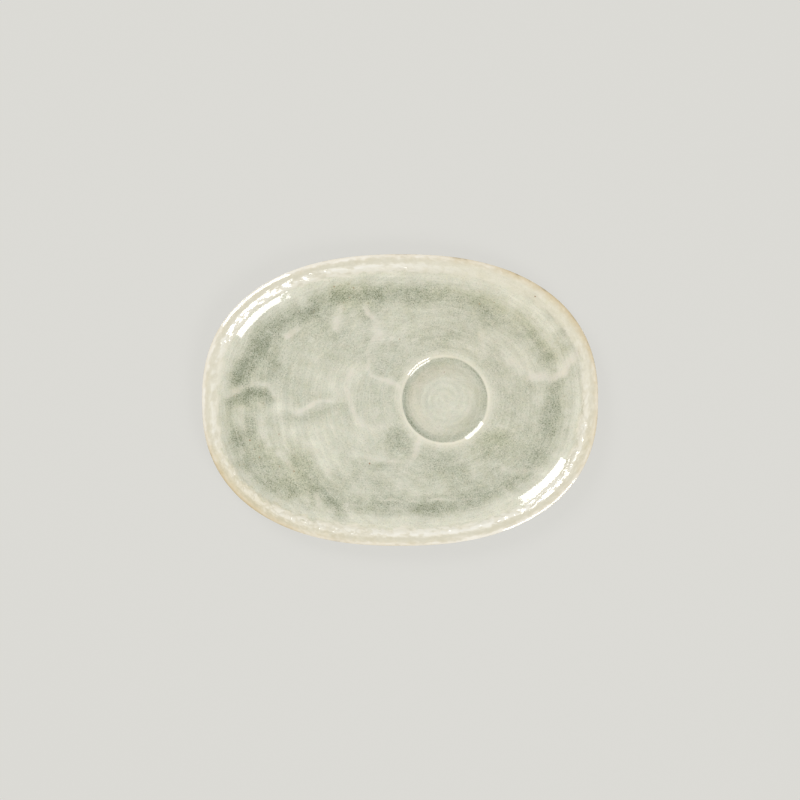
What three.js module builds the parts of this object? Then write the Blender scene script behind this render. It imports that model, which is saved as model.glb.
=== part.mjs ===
// Oval cup saucer: a fired stoneware shell with a round cup well set off to one side, glazed all over
// except on the foot ring that it stands on. The shell and its three coats of glaze are separate solids.
//
// Millimetres, +Z up. The origin is on the table, under the middle of the oval. +X runs along the oval
// towards the cup well.
//
// Every solid is a loft through flat rings. A ring is one station of the saucer's section, carried round
// the oval rim or round the cup well.
import * as THREE from "three";
import { LoftGeometry } from "three/addons/geometries/LoftGeometry.js";

// Oval outline over the glaze. A power of 2 is an ellipse, and a larger one is squarer at the corners.
const LENGTH = 220;
const WIDTH = 162;
const OVAL_POWER = 2.35;

// Section of the dish, from the rim's outer edge in to the floor: a small round edge, a broad round crown,
// a straight wall, and a cove that flattens out into a wider round at its toe. The leans are in degrees
// off level: the crown's where it meets the edge, the wall's, and the cove's where its toe begins.
const RIM_EDGE_RADIUS = 1.1;
const CROWN_RADIUS = 5.5;
const CROWN_LEAN = 26;
const WALL_LEAN = 25;
const WALL_LENGTH = 4.7;
const COVE_RADIUS = 24;
const TOE_LEAN = 16;
const TOE_RADIUS = 29;

// Thickness under the dish. The saucer's height is the sum of the foot, the floor and the dish.
const FOOT_HEIGHT = 4.4;
const FLOOR_THICKNESS = 5.4;
const WALL_THICKNESS = 3.4;

// Round well for the cup, sunk into the floor.
const WELL_OFFSET = 25;
const WELL_RADIUS = 26.4;
const WELL_FLOOR_RADIUS = 21.7;
const WELL_DEPTH = 1.2;
const WELL_LIP_RADIUS = 4.5;

// Foot ring, which follows the oval just inside the toe of the cove.
const FOOT_SETBACK = 0.5;
const FOOT_FILLET = 1.2;
const FOOT_EDGE_RADIUS = 0.7;
const FOOT_LAND = 2.6;
const BARE_FOOT = 1.3;

// Coats of glaze, and the fused layer between clay and glaze, which is left open in the model.
const UPPER_COAT = 0.6;
const UNDER_COAT = 0.4;
const BOND = 0.05;

// Ways that a surface of the section faces, in degrees up from straight out. The upper coat meets the
// outside one at the glaze line, just under the widest part of the rim's edge.
const OUT = 0;
const UP = 90;
const DOWN = -90;
const IN = -180;
const GLAZE_LINE = -20;
const QUARTER_TURN = 90;

// Facets
const SECTORS = 64;
const EDGE_STEPS = 3;
const CROWN_STEPS = 6;
const COVE_STEPS = 4;
const WELL_STEPS = 4;
const FOOT_STEPS = 2;

const { degToRad, radToDeg } = THREE.MathUtils;

// The point at a distance from another, in the direction of a facing.
function along({ x, y }, facing, distance) {
  const angle = degToRad(facing);
  return new THREE.Vector2(x + distance * Math.cos(angle), y + distance * Math.sin(angle));
}

// How far an arc climbs between two leans.
function climb(radius, lowLean, highLean) {
  return radius * (Math.cos(degToRad(lowLean)) - Math.cos(degToRad(highLean)));
}

// Places in the section, as (out, up), that follow from the sizes above.
const crownFacing = UP - CROWN_LEAN;
const wallFacing = UP + WALL_LEAN;
const toeFacing = UP + TOE_LEAN;
const wallClimb = WALL_LENGTH * Math.sin(degToRad(WALL_LEAN));
const coveClimb = climb(TOE_RADIUS, 0, TOE_LEAN) + climb(COVE_RADIUS, TOE_LEAN, WALL_LEAN);
const floorTop = FOOT_HEIGHT + FLOOR_THICKNESS;
const rimTop = floorTop + coveClimb + wallClimb + climb(CROWN_RADIUS, 0, WALL_LEAN);
const edgeOffset = CROWN_RADIUS - RIM_EDGE_RADIUS;
const crownInset = RIM_EDGE_RADIUS + edgeOffset * Math.cos(degToRad(crownFacing));
const crownCentre = new THREE.Vector2(-crownInset, rimTop - CROWN_RADIUS);
const edgeCentre = along(crownCentre, crownFacing, edgeOffset);
const wallTop = along(crownCentre, wallFacing, CROWN_RADIUS);
const coveTop = along(wallTop, wallFacing + QUARTER_TURN, WALL_LENGTH);
const coveCentre = along(coveTop, wallFacing, COVE_RADIUS);
const toeCentre = along(coveCentre, toeFacing, TOE_RADIUS - COVE_RADIUS);
const footSide = toeCentre.x - FOOT_SETBACK - FOOT_FILLET;
const footInside = footSide - FOOT_LAND - 2 * FOOT_EDGE_RADIUS;

// Rings

const angles = Array.from({ length: SECTORS }, (_, i) => (2 * Math.PI * i) / SECTORS);

// The outline is the curve |x / a|^p + |y / b|^p = 1, taken at one point for each sector.
const outline = angles.map((angle) => {
  const point = new THREE.Vector2(Math.cos(angle), Math.sin(angle));
  const alongX = Math.abs((2 * point.x) / LENGTH) ** OVAL_POWER;
  const alongY = Math.abs((2 * point.y) / WIDTH) ** OVAL_POWER;
  return point.multiplyScalar((alongX + alongY) ** (-1 / OVAL_POWER));
});

// The outward normal of the side from one outline point to the next.
function sideNormal(index) {
  const start = outline[(index + SECTORS) % SECTORS];
  const end = outline[(index + 1) % SECTORS];
  return new THREE.Vector2(end.y - start.y, start.x - end.x).normalize();
}

// Moving each corner along its mitre keeps the sides of all rings parallel, so their facets are flat.
const mitres = outline.map((_, index) => {
  const before = sideNormal(index - 1);
  const after = sideNormal(index);
  return before.clone().add(after).divideScalar(1 + before.dot(after));
});

// "out" is the distance out from the oval outline, so it is negative inside the rim.
function ovalRing(out, up) {
  return outline.map(({ x, y }, i) => new THREE.Vector3(x + out * mitres[i].x, y + out * mitres[i].y, up));
}

// "out" is the distance out from the middle of the cup well.
function wellRing(out, up) {
  return angles.map((a) => new THREE.Vector3(WELL_OFFSET + out * Math.cos(a), out * Math.sin(a), up));
}

// Stations of the section: a point (out, up) on a kind of ring, and the way that its surface faces.

function station(ring, out, up, facing) {
  return { ring, out, up, facing };
}

// Moves a station along the way that it faces, out onto a coat, or back into the clay by a negative rise.
function raised({ ring, out, up, facing }, rise) {
  const place = along(new THREE.Vector2(out, up), facing, rise);
  return station(ring, place.x, place.y, facing);
}

// A round stretch of the section. A negative radius is hollow: its surface faces the arc's centre.
function bend(ring, centre, radius, from, to, steps) {
  return Array.from({ length: steps + 1 }, (_, i) => {
    const facing = from + ((to - from) * i) / steps;
    return raised(station(ring, centre.x, centre.y, facing), radius);
  });
}

// Upper side over the glaze, from the glaze line on the rim's edge in to the middle of the cup well.
function upperSection() {
  const wellRun = WELL_RADIUS - WELL_FLOOR_RADIUS;
  const wellLean = 2 * radToDeg(Math.atan(WELL_DEPTH / wellRun));
  const wellFillet = wellRun / Math.sin(degToRad(wellLean)) - WELL_LIP_RADIUS;
  const wellFloor = floorTop - WELL_DEPTH;
  const wellLipCentre = new THREE.Vector2(WELL_RADIUS, floorTop - WELL_LIP_RADIUS);
  const wellFilletCentre = new THREE.Vector2(WELL_FLOOR_RADIUS, wellFloor + wellFillet);
  return [
    ...bend(ovalRing, edgeCentre, RIM_EDGE_RADIUS, GLAZE_LINE, crownFacing, EDGE_STEPS),
    ...bend(ovalRing, crownCentre, CROWN_RADIUS, crownFacing, wallFacing, CROWN_STEPS).slice(1),
    ...bend(ovalRing, coveCentre, -COVE_RADIUS, wallFacing, toeFacing, COVE_STEPS),
    ...bend(ovalRing, toeCentre, -TOE_RADIUS, toeFacing, UP, COVE_STEPS).slice(1),
    ...bend(wellRing, wellLipCentre, WELL_LIP_RADIUS, UP, UP + wellLean, WELL_STEPS),
    ...bend(wellRing, wellFilletCentre, -wellFillet, UP + wellLean, UP, WELL_STEPS).slice(1),
    station(wellRing, 0, wellFloor, UP),
  ];
}

// Outside of the clay, from the bare foot out to the glaze line. The belly runs parallel to the cove, and
// the straight flank touches both the belly and the round of the rim's edge.
function outsideSection() {
  const thickness = UPPER_COAT + WALL_THICKNESS;
  const edgeRadius = RIM_EDGE_RADIUS - UPPER_COAT;
  const bellyRadius = COVE_RADIUS + thickness;
  const bellyBottom = floorTop - thickness;
  const between = coveCentre.clone().sub(edgeCentre);
  const flankTurn = Math.acos((edgeRadius - bellyRadius) / between.length());
  const flankFacing = radToDeg(between.angle() + flankTurn - 2 * Math.PI);
  const filletCentre = new THREE.Vector2(footSide + FOOT_FILLET, bellyBottom - FOOT_FILLET);
  const bondAngle = radToDeg(BOND / edgeRadius);
  return [
    station(ovalRing, footSide, BARE_FOOT, OUT),
    ...bend(ovalRing, filletCentre, -FOOT_FILLET, OUT, DOWN, FOOT_STEPS),
    ...bend(ovalRing, toeCentre, TOE_RADIUS + thickness, DOWN, DOWN + TOE_LEAN, COVE_STEPS),
    ...bend(ovalRing, coveCentre, bellyRadius, DOWN + TOE_LEAN, flankFacing, COVE_STEPS).slice(1),
    ...bend(ovalRing, edgeCentre, edgeRadius, flankFacing, GLAZE_LINE - bondAngle, EDGE_STEPS),
  ];
}

// Bare bottom of the foot ring, from its inner side out to its outer side.
function footSection() {
  const innerEdge = new THREE.Vector2(footInside + FOOT_EDGE_RADIUS, FOOT_EDGE_RADIUS);
  const outerEdge = new THREE.Vector2(footSide - FOOT_EDGE_RADIUS, FOOT_EDGE_RADIUS);
  return [
    ...bend(ovalRing, innerEdge, FOOT_EDGE_RADIUS, IN, DOWN, FOOT_STEPS),
    ...bend(ovalRing, outerEdge, FOOT_EDGE_RADIUS, DOWN, OUT, FOOT_STEPS),
  ];
}

// Underside of the clay inside the foot ring, from a point under the cup well out to the bare foot.
function baseSection() {
  const filletCentre = new THREE.Vector2(footInside - FOOT_FILLET, FOOT_HEIGHT - FOOT_FILLET);
  return [
    station(wellRing, 0, FOOT_HEIGHT, DOWN),
    ...bend(ovalRing, filletCentre, -FOOT_FILLET, DOWN, IN, FOOT_STEPS),
    station(ovalRing, footInside, BARE_FOOT, IN),
  ];
}

// Solids

function loft(stations) {
  return new LoftGeometry(stations.map(({ ring, out, up }) => ring(out, up)));
}

function clayBody() {
  const upper = upperSection().map((s) => raised(s, -UPPER_COAT));
  return loft([...baseSection(), ...footSection(), ...outsideSection(), ...upper]);
}

function upperGlaze() {
  const face = upperSection();
  const back = face.map((s) => raised(s, BOND - UPPER_COAT)).reverse();
  return loft([...back, ...face]);
}

function outsideGlaze() {
  const face = outsideSection().map((s) => raised(s, UNDER_COAT));
  const back = outsideSection().map((s) => raised(s, BOND)).reverse();
  return loft([...face, ...back, face[0]]);
}

function baseGlaze() {
  const face = baseSection().map((s) => raised(s, UNDER_COAT));
  const back = baseSection().map((s) => raised(s, BOND)).reverse();
  return loft([...face, ...back]);
}

const stoneware = new THREE.MeshStandardMaterial({ color: 0xcbb997, roughness: 0.85, metalness: 0 });
const celadon = new THREE.MeshStandardMaterial({ color: 0xcccbb2, roughness: 0.12, metalness: 0 });
const cream = new THREE.MeshStandardMaterial({ color: 0xe0dbc4, roughness: 0.15, metalness: 0 });

const saucer = new THREE.Group();

function add(name, geometry, material) {
  const mesh = new THREE.Mesh(geometry, material);
  mesh.name = name;
  saucer.add(mesh);
}

add("clay_body", clayBody(), stoneware);
add("upper_glaze", upperGlaze(), celadon);
add("outside_glaze", outsideGlaze(), cream);
add("base_glaze", baseGlaze(), cream);

export default saucer;
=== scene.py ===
"""Oval stoneware saucer with a crackled celadon glaze, made over its CAD frame.

The file is laid out as an add-on. Property groups hold the sizes and colours, one operator makes each
piece and one the stage, and a panel in the 3D view's sidebar lists them.

Lengths are in metres, +Z up. The origin is on the table, under the middle of the oval, and +X runs along
the oval towards the cup well.
"""

import math
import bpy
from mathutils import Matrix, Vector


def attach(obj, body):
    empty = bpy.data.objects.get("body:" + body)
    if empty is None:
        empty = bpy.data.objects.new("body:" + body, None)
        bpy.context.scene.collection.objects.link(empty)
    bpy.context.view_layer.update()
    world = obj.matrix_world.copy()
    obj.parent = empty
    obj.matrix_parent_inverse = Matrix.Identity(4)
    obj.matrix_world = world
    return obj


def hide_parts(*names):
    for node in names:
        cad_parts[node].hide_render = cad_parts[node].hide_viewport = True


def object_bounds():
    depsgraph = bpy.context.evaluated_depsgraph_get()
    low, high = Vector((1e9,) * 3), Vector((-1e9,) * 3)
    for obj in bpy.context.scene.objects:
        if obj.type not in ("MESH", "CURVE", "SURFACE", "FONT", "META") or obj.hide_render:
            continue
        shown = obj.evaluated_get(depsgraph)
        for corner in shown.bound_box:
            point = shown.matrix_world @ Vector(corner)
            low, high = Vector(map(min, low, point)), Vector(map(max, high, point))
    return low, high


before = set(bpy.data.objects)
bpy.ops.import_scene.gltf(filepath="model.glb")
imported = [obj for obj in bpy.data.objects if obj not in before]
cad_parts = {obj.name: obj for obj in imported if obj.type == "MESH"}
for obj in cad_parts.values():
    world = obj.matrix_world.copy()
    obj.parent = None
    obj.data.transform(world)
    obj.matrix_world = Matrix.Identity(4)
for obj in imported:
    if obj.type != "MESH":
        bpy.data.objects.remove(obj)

from types import SimpleNamespace

import bpy
import numpy as np
from bpy.props import FloatProperty, FloatVectorProperty, PointerProperty
from mathutils import Vector

CAD_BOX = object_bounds()

bl_info = {
    "name": "Celadon saucer",
    "version": (1, 0, 0),
    "blender": (4, 5, 0),
    "location": "View3D > Sidebar > Saucer",
    "description": "Makes an oval stoneware saucer with a crackled celadon glaze",
    "category": "Object",
}

MM = 0.001
BODY = "root"

# Ways that a surface of the section faces, as angles up from straight out.
OUT = 0.0
UP = math.pi / 2
DOWN = -math.pi / 2
IN = -math.pi
QUARTER_TURN = math.pi / 2

# Points round the oval, and steps along each stretch of the section.
FINE_SECTORS = 560
PLAIN_SECTORS = 300
FACE_STEPS = {"edge": 5, "crown": 12, "wall": 9, "cove": 8, "toe": 10, "floor": 72, "well": 12, "middle": 9}
BACK_STEPS = {"edge": 1, "crown": 3, "wall": 1, "cove": 2, "toe": 2, "floor": 1, "well": 2, "middle": 1}
FOOT_STEPS = 5
BASE_STEPS = 24
OUTLINE_SAMPLES = 4096
SHARP_ANGLE = math.radians(40)

# Stage: the floor's side and how far the camera sees, in metres, and the camera's sensor in millimetres.
FLOOR_SPAN = 6.0
CAMERA_REACH = 100.0
SENSOR_WIDTH = 36.0

# Factors of the lattice that noise is made of.
LATTICE_COLUMN = 127.1
LATTICE_ROW = 311.7
LATTICE_SEED = 74.7
LATTICE_GAIN = 43758.5453

# Numbers that the upper glaze keeps at each of its points for its material.
UPPER_ATTRIBUTES = (
    "depth", "vein", "inset", "place", "roll", "tan", "warm", "cool", "pink", "lump", "gloss", "crisp"
)

# Drum that the rim's noise is wrapped on, in millimetres, and how far the noise slants along the rim for
# each millimetre in from it.
BELT_RADIUS = 97.0
BELT_SLANT = 0.5

# Noise of the upper glaze. The first kind has its scale, detail and roughness, and the second lies along the
# belt and has its stretch, detail and roughness.
GLAZE_NOISES = {
    "grain": (2600.0, 2.0, 0.6),
    "mottle": (180.0, 2.0, 0.5),
    "hue": (380.0, 3.0, 0.7),
    "stain": (900.0, 3.0, 0.7),
}
BELT_NOISES = {
    "streaks": ((0.16, 0.16, 0.45), 3.0, 0.55),
    "blobs": ((0.26, 0.26, 0.42), 1.0, 0.5),
    "patches": ((0.30, 0.30, 0.50), 3.0, 0.6),
}
LUMP_STRETCH = (0.15, 0.15, 0.24)
LUMP_PUSH = (1.2, 1.2, 1.2)

# Crackle of the upper glaze, in cells to a metre, and iron specks: cells to a metre, the share of cells
# without a speck, and the two distances, in shares of a cell, that a speck fades between.
CRACKLE_SCALE = 1200.0
PEPPER = (360.0, 0.72, 0.10, 0.26)
UPPER_SPECKS = (120.0, 0.88, 0.03, 0.07)
PLAIN_SPECKS = (150.0, 0.82, 0.04, 0.09)
CLAY_SPECKS = (420.0, 0.75, 0.10, 0.22)

# Finish of the glazes and the clay. Ripples and sand are the heights that bump counts in, in metres.
SATIN_ROUGHNESS = 0.30
GLOSSY_ROUGHNESS = 0.014
PLAIN_ROUGHNESS = 0.14
UPPER_IOR = 1.62
PLAIN_IOR = 1.55
RIPPLE_HEIGHT = 0.0004
SAND_HEIGHT = 0.0003

# Depth of the upper glaze against the distance in from the rim, in millimetres. 0 is a thin cream coat
# and 1 the deepest green pool.
BAND_INSETS = (0, 4, 6, 8, 10, 12, 14, 16, 18, 20, 22, 24, 26, 28, 30, 34, 44)
BAND_DEPTHS = (
    0.08, 0.12, 0.12, 0.13, 0.16, 0.19, 0.25, 0.33, 0.43, 0.53, 0.58, 0.59, 0.58, 0.55, 0.51, 0.48, 0.47
)

# How much deeper the pools are than listed, how steep their edges are, and how much a vein thins the glaze.
POOL_DEEPENING = 1.25
POOL_POWER = 2.6
VEIN_THINNING = 0.24

# Where the floor's ramp of colours ends, as a depth, and the rim's, in millimetres in from the edge.
DEEPEST = 1.3
RIM_BAND = 10.0

# Depth of the glaze in the cup well, and how strongly the cream glaze of its lip shows, both against the
# distance from the well's middle in millimetres. Noise moves the lip by its raggedness. The spiral's turns
# are a spacing apart, in metres.
WELL_RADII = (0, 8, 14, 16, 18, 19, 20, 21, 22, 23.5)
WELL_DEPTHS = (0.29, 0.32, 0.35, 0.38, 0.41, 0.45, 0.53, 0.58, 0.54, 0.50)
LIP_RADII = (23.4, 24.1, 24.8, 25.3, 26.0, 27.0, 28.0, 29.5)
LIP_STRENGTHS = (0.0, 0.95, 0.88, 0.58, 0.46, 0.32, 0.16, 0.0)
LIP_RAGGEDNESS = 0.732
SPIRAL_SPACING = 0.0040

# Stretches of the rim, or of the well's floor, each with its direction in degrees, its half-width in radians
# and its strength: ends where the roll is narrow, clay that shows through, a roll that is soft, a roll
# that drops more or less than elsewhere, an edge where the pale edge band reaches further in as a painted
# reflection, a brighter roll with more of its partly painted glints, and the well's floor darker or
# lighter round its edge.
BARE_ENDS = ((12, 0.22, 1.0), (204, 0.30, 1.0))
CLAY_STRETCHES = (
    (30, 0.25, 0.45),
    (45, 0.75, 0.60),
    (210, 0.22, 0.70),
    (225, 0.75, 0.48),
    (-6, 0.15, 0.25),
    (-19, 0.12, 0.25),
)
SOFT_STRETCHES = ((44, 0.55, 0.85), (178, 0.2, 0.5))
DROP_STRETCHES = ((10, 0.35, -0.9), (204, 0.45, -0.9), (350, 0.2, 0.8))
PAINTED_EDGE_REFLECTIONS = ((116, 0.14, 0.9), (166, 0.12, 0.7))
BRIGHT_STRETCHES = ((276, 0.6, 0.5), (350, 0.25, 0.3), (80, 0.35, 0.5))
WELL_STRETCHES = ((125, 0.6, 0.10), (225, 0.6, -0.08), (315, 0.6, 0.05))

# Where the roll ends and its step down begins, in millimetres in from the rim, and how far the roll drops.
ROLL_END = 8.6
STEP_INSET = 9.05
ROLL_DROP = 0.9

# Headings in degrees of the rim's two stretches that face the lamps, and their half-width in radians.
FRONT_HEADING = -35
BACK_HEADING = 138
LIT_WIDTH = 0.4

# Heights of the upper glaze's relief, in millimetres.
RIDGE_RISE = 0.14
DIP_FALL = 0.16
BROKEN_RISE = 0.20
LUMP_RISE = 0.34
WAVE_RISE = 0.10
VEIN_RISE = 0.06
FRONT_FALL = 0.20
BACK_FALL = 0.19
LIP_RISE = 0.12
UNEVENNESS = 0.03

# Yellower spots of the glaze: the middle and half-width of each in millimetres, and its strength.
WARM_SPOTS = ((-60, -40, 16, 0.35), (-92, 0, 16, 0.25), (-32, 63, 10, 0.60), (54, -22, 8, 0.45))

# Pools where the glaze ran deeper, or patches where it stayed thin: the middle, half the length and half
# the width of each in millimetres, its turn in degrees, and the depth that it adds.
POOLS = (
    # Upper left of the ring
    (-88, 15, 7, 5, 60, 0.26),
    (-76.5, 31.5, 12, 5, 55, 0.30),
    (-70, 19, 5, 6, 0, 0.12),
    (-58, 44, 8, 4, 35, 0.14),
    (-44, 50, 7, 6, 25, 0.20),
    (-36, 58, 6, 4, 0, 0.20),
    (-25, 60, 7, 4, 0, 0.17),
    # Top of the ring
    (-6, 61, 10, 4, 0, 0.10),
    (-14, 54, 7, 4, 10, 0.12),
    (8, 59, 8, 4, 0, 0.10),
    (28, 60.5, 16, 4, -3, 0.14),
    (52, 57, 7, 3, -25, 0.09),
    (47, 52, 6, 3, -30, 0.10),
    # Upper right
    (66, 46, 5, 3, -35, 0.08),
    (75, 36, 5, 3, -50, 0.06),
    (80, 28, 9, 4, -62, 0.15),
    (66, -2, 7, 14, 0, 0.04),
    (91, 37, 3, 2.5, 0, 0.24),
    (83, 46, 4, 2.5, -45, 0.14),
    (74, 57, 4, 2, -35, 0.10),
    (95, 28.5, 3, 2.5, 0, 0.14),
    (100, 25, 2.5, 2.5, 0, 0.16),
    (72, 8, 3, 3, 0, 0.10),
    # Right crescent
    (86.5, 4, 9, 3.5, 90, 0.19),
    (80.5, -12.5, 8, 3, 75, 0.14),
    (78, -26, 8, 3, 60, 0.08),
    (69, -39, 8, 3.5, 45, 0.10),
    (46, -54, 12, 3, 22, 0.20),
    # Below and right of the well
    (50, -25, 9, 7, 0, 0.14),
    (61, -22, 5, 5, 0, 0.08),
    (17, -38, 8, 6, 0, 0.12),
    (28, -36, 7, 5, 0, 0.08),
    (-1, -23, 6, 5, 0, 0.27),
    (-9, -36, 5, 2, 5, 0.10),
    # Bottom of the ring
    (19, -61, 7, 3, 0, 0.24),
    (5, -60, 8, 3, 0, 0.10),
    (33, -59.5, 8, 3, 3, 0.12),
    (-8, -59, 6, 3.5, 0, 0.09),
    (-22, -61, 6, 4, 0, 0.07),
    (-33, -63, 4, 4, 0, 0.22),
    # Lower left
    (-40, -54, 7, 4, -15, 0.18),
    (-50, -47, 5, 5, 0, 0.15),
    (-60, -50, 5, 4, 0, 0.13),
    (-54, -34, 6, 6, 0, 0.18),
    (-62, -37, 4, 4, 0, 0.05),
    (-69, -50, 5, 4, 0, 0.08),
    (-75, -44, 4, 3.5, 0, 0.09),
    (-79, -33, 4, 4, 0, 0.09),
    (-90, -21, 3.5, 5, 0, 0.24),
    (-87, -34, 4, 3, 0, 0.10),
    (-82, -17, 3, 5, 0, 0.12),
    # Left arch and the strip along the west vein
    (-92, 0, 4, 3, 0, 0.18),
    (-86.5, 2.5, 4.5, 3, 25, 0.14),
    (-79.5, 4, 4.5, 2.5, -5, 0.26),
    (-74, 1, 4, 3.5, -50, 0.24),
    (-61, -9, 5, 2.5, 0, 0.14),
    (-49, -9, 6, 2, 15, 0.14),
    (-40, -6, 5, 2, 30, 0.12),
    # Left of the well
    (-8, 19, 4, 5, 0, 0.08),
    (-18, 47, 3, 4, 0, 0.16),
    (-54, 8, 5, 5, 0, 0.06),
    (-48, 27, 14, 9, 30, 0.05),
    # Patches that stayed thin
    (-18, -53, 7, 4, 0, -0.06),
    (79, -41, 8, 4, 50, -0.07),
    (22, 51, 12, 3, 0, -0.06),
    (-42, 12, 16, 12, 0, -0.08),
    (-32, -22, 18, 9, -15, -0.10),
    (-60, -16, 8, 6, 0, -0.06),
    (64, 25, 8, 8, 0, -0.08),
    (62, 37, 12, 7, -35, -0.08),
    (-67, -4, 5, 4, 0, -0.14),
    (-48, -27, 5, 4, 0, -0.14),
    (-38, -35, 6, 4, -30, -0.14),
)

# Pale veins where the glaze is thin over a ridge in the clay: half the width in millimetres, the strength,
# and the points that the vein runs through.
VEINS = (
    # Left arch
    (1.6, 0.65, ((-95, 2), (-88, 7), (-80, 9.5), (-73, 8), (-70, 3.5))),
    (1.6, 0.35, ((-70, 3.5), (-68, -2), (-67, -7))),
    (1.8, 0.5, ((-89, -5), (-88.5, -12), (-86, -22))),
    (0.6, 0.4, ((-67, -7), (-66, -18), (-62, -27))),
    # West vein
    (0.9, 1.0, ((-57, -6.3), (-50, -3.6), (-45.6, -1.4), (-39, -0.2))),
    (1.2, 0.4, ((-39, -0.2), (-29, 0))),
    (1.7, 0.6, ((-59, -6.5), (-56, -6.3))),
    (1.6, 0.4, ((-34, 2), (-37, 8), (-38, 14))),
    (0.6, 0.4, ((-39.5, -8), (-37, -14), (-35, -20))),
    # Arc left of the well
    (1.5, 0.25, ((-18, 26), (-24, 20), (-27, 16))),
    (2.0, 0.7, ((-27, 16), (-29.5, 7), (-28.4, 0))),
    (1.3, 0.65, ((-28.4, 0), (-25, -7.5), (-20.6, -14))),
    (1.8, 0.35, ((-20.6, -14), (-13, -17), (-9, -15))),
    # From the top down to the well
    (1.4, 0.8, ((-19, 51), (-16, 46), (-13, 41))),
    (2.2, 0.9, ((-14, 42), (-11, 36))),
    (1.3, 0.7, ((-12, 38), (-15, 33), (-18, 26), (-18, 18))),
    (1.1, 0.8, ((-18, 18), (-17, 14.5), (-12.3, 12.5), (-4, 9.2), (-1, 8))),
    # Right of the well, out to the rim
    (2.6, 0.45, ((61, 23), (66, 18), (71, 15))),
    (1.9, 1.4, ((73, 14), (76, 13), (85, 13))),
    (1.4, 1.3, ((85, 13), (91, 16), (95, 21.5), (100.5, 28))),
    # Below the well
    (1.4, 0.9, ((12, -21), (10, -27), (8, -31), (5, -35))),
    (1.2, 0.55, ((5, -35), (-2, -34), (-9.5, -33), (-17, -32), (-24, -30.5))),
    # Lower left
    (1.1, 0.45, ((-79, -3), (-78, -17), (-72, -25))),
    (1.8, 0.4, ((-60, -18), (-57, -22), (-49, -25), (-45, -32), (-38, -43))),
    (1.4, 0.6, ((-68, -29), (-64, -34), (-60, -41))),
    (1.6, 0.7, ((-46, -53), (-45, -58))),
    (1.5, 0.5, ((-30, -58), (-27, -65))),
    # Line along the toe at the bottom
    (0.6, 0.5, ((-11, -55.6), (3.7, -56.4), (16.6, -56.3), (30.5, -55.6), (43, -54.2))),
    # Short ones
    (1.7, 0.8, ((-33, 51), (-34, 46), (-36.5, 41))),
    (1.4, 0.95, ((-63, 36), (-57, 39))),
    (1.2, 0.5, ((55, -14), (60, -15), (64, -17))),
    (1.6, 0.4, ((45, 38), (46, 29))),
    (1.6, 0.6, ((58, -38), (66, -39), (76, -38))),
    (0.7, 0.35, ((60, -43.5), (75, -37.5), (79.5, -41))),
)


# Settings


def srgb(red, green, blue):
    """A colour given as 8-bit display values, as the linear values that shaders use."""
    shares = (value / 255 for value in (red, green, blue))
    return tuple(((share + 0.055) / 1.055) ** 2.4 if share > 0.04045 else share / 12.92 for share in shares)


def length(name, description, millimetres):
    """A length property with its default given in millimetres."""
    return FloatProperty(
        name=name,
        description=description,
        default=millimetres * MM,
        min=0.0,
        precision=5,
        subtype="DISTANCE",
        unit="LENGTH",
    )


def angle(name, description, degrees):
    """An angle property with its default given in degrees."""
    return FloatProperty(
        name=name, description=description, default=math.radians(degrees), subtype="ANGLE", unit="ROTATION"
    )


def colour(name, description, red, green, blue):
    """A colour property with its default given in 8-bit display values."""
    return FloatVectorProperty(
        name=name,
        description=description,
        default=srgb(red, green, blue),
        min=0.0,
        max=1.0,
        size=3,
        subtype="COLOR",
    )


class SaucerSizes(bpy.types.PropertyGroup):
    """Sizes of the saucer's outline, section, cup well, foot ring and coats of glaze."""

    length: length("Length", "Long side of the oval", (CAD_BOX[1].x - CAD_BOX[0].x) / MM)
    width: length("Width", "Short side of the oval", (CAD_BOX[1].y - CAD_BOX[0].y) / MM)
    oval_power: FloatProperty(
        name="Squareness", description="Power of the oval: 2 is an ellipse", default=2.35, min=2.0, max=4.0
    )
    edge_radius: length("Rim edge", "Round of the rim's outer edge", 1.1)
    crown_radius: length("Crown", "Round of the rim's crown", 5.5)
    crown_lean: angle("Crown lean", "Lean off level where the crown meets the edge", 26)
    glaze_edge: length("Glaze edge", "Tighter round of the coat's own edge", 0.45)
    shoulder_radius: length("Shoulder", "Round of the coat's face from its edge to the crown's top", 6.8)
    wall_lean: angle("Wall lean", "Lean off level of the straight wall", 25)
    wall_length: length("Wall", "Length of the straight wall", 4.7)
    cove_radius: length("Cove", "Round between the wall and the toe", 24)
    toe_lean: angle("Toe lean", "Lean off level where the toe begins", 16)
    toe_radius: length("Toe", "Wide round between the cove and the floor", 29)
    foot_height: length("Foot height", "Height of the clay's base off the table", 4.4)
    floor_thickness: length("Floor thickness", "Thickness of the floor over its base", 5.4)
    wall_thickness: length("Wall thickness", "Thickness of the clay under the cove", 3.4)
    well_offset: length("Well offset", "Distance of the cup well from the middle", 25)
    well_radius: length("Well radius", "Radius where the cup well's lip begins", 26.4)
    well_floor_radius: length("Well floor radius", "Radius of the well's flat floor", 21.7)
    well_depth: length("Well depth", "Depth of the cup well", 1.2)
    well_lip_radius: length("Well lip", "Round of the cup well's lip", 4.5)
    foot_setback: length("Foot setback", "Flat between the toe and the foot's fillet", 0.5)
    foot_fillet: length("Foot fillet", "Fillet along both sides of the foot", 1.2)
    foot_edge_radius: length("Foot edge", "Round of the foot's edges", 0.7)
    foot_land: length("Foot land", "Width of the flat that the saucer stands on", 2.6)
    bare_foot: length("Bare foot", "Height of the foot that is left bare", 1.3)
    upper_coat: length("Upper coat", "Thickness of the upper glaze", 0.6)
    under_coat: length("Under coat", "Thickness of the outside and base glazes", 0.4)
    bond: length("Bond", "Gap that stands for the fused layer under a coat", 0.05)
    glaze_line: angle("Glaze line", "Facing of the rim's edge where the coats meet", -20)


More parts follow.
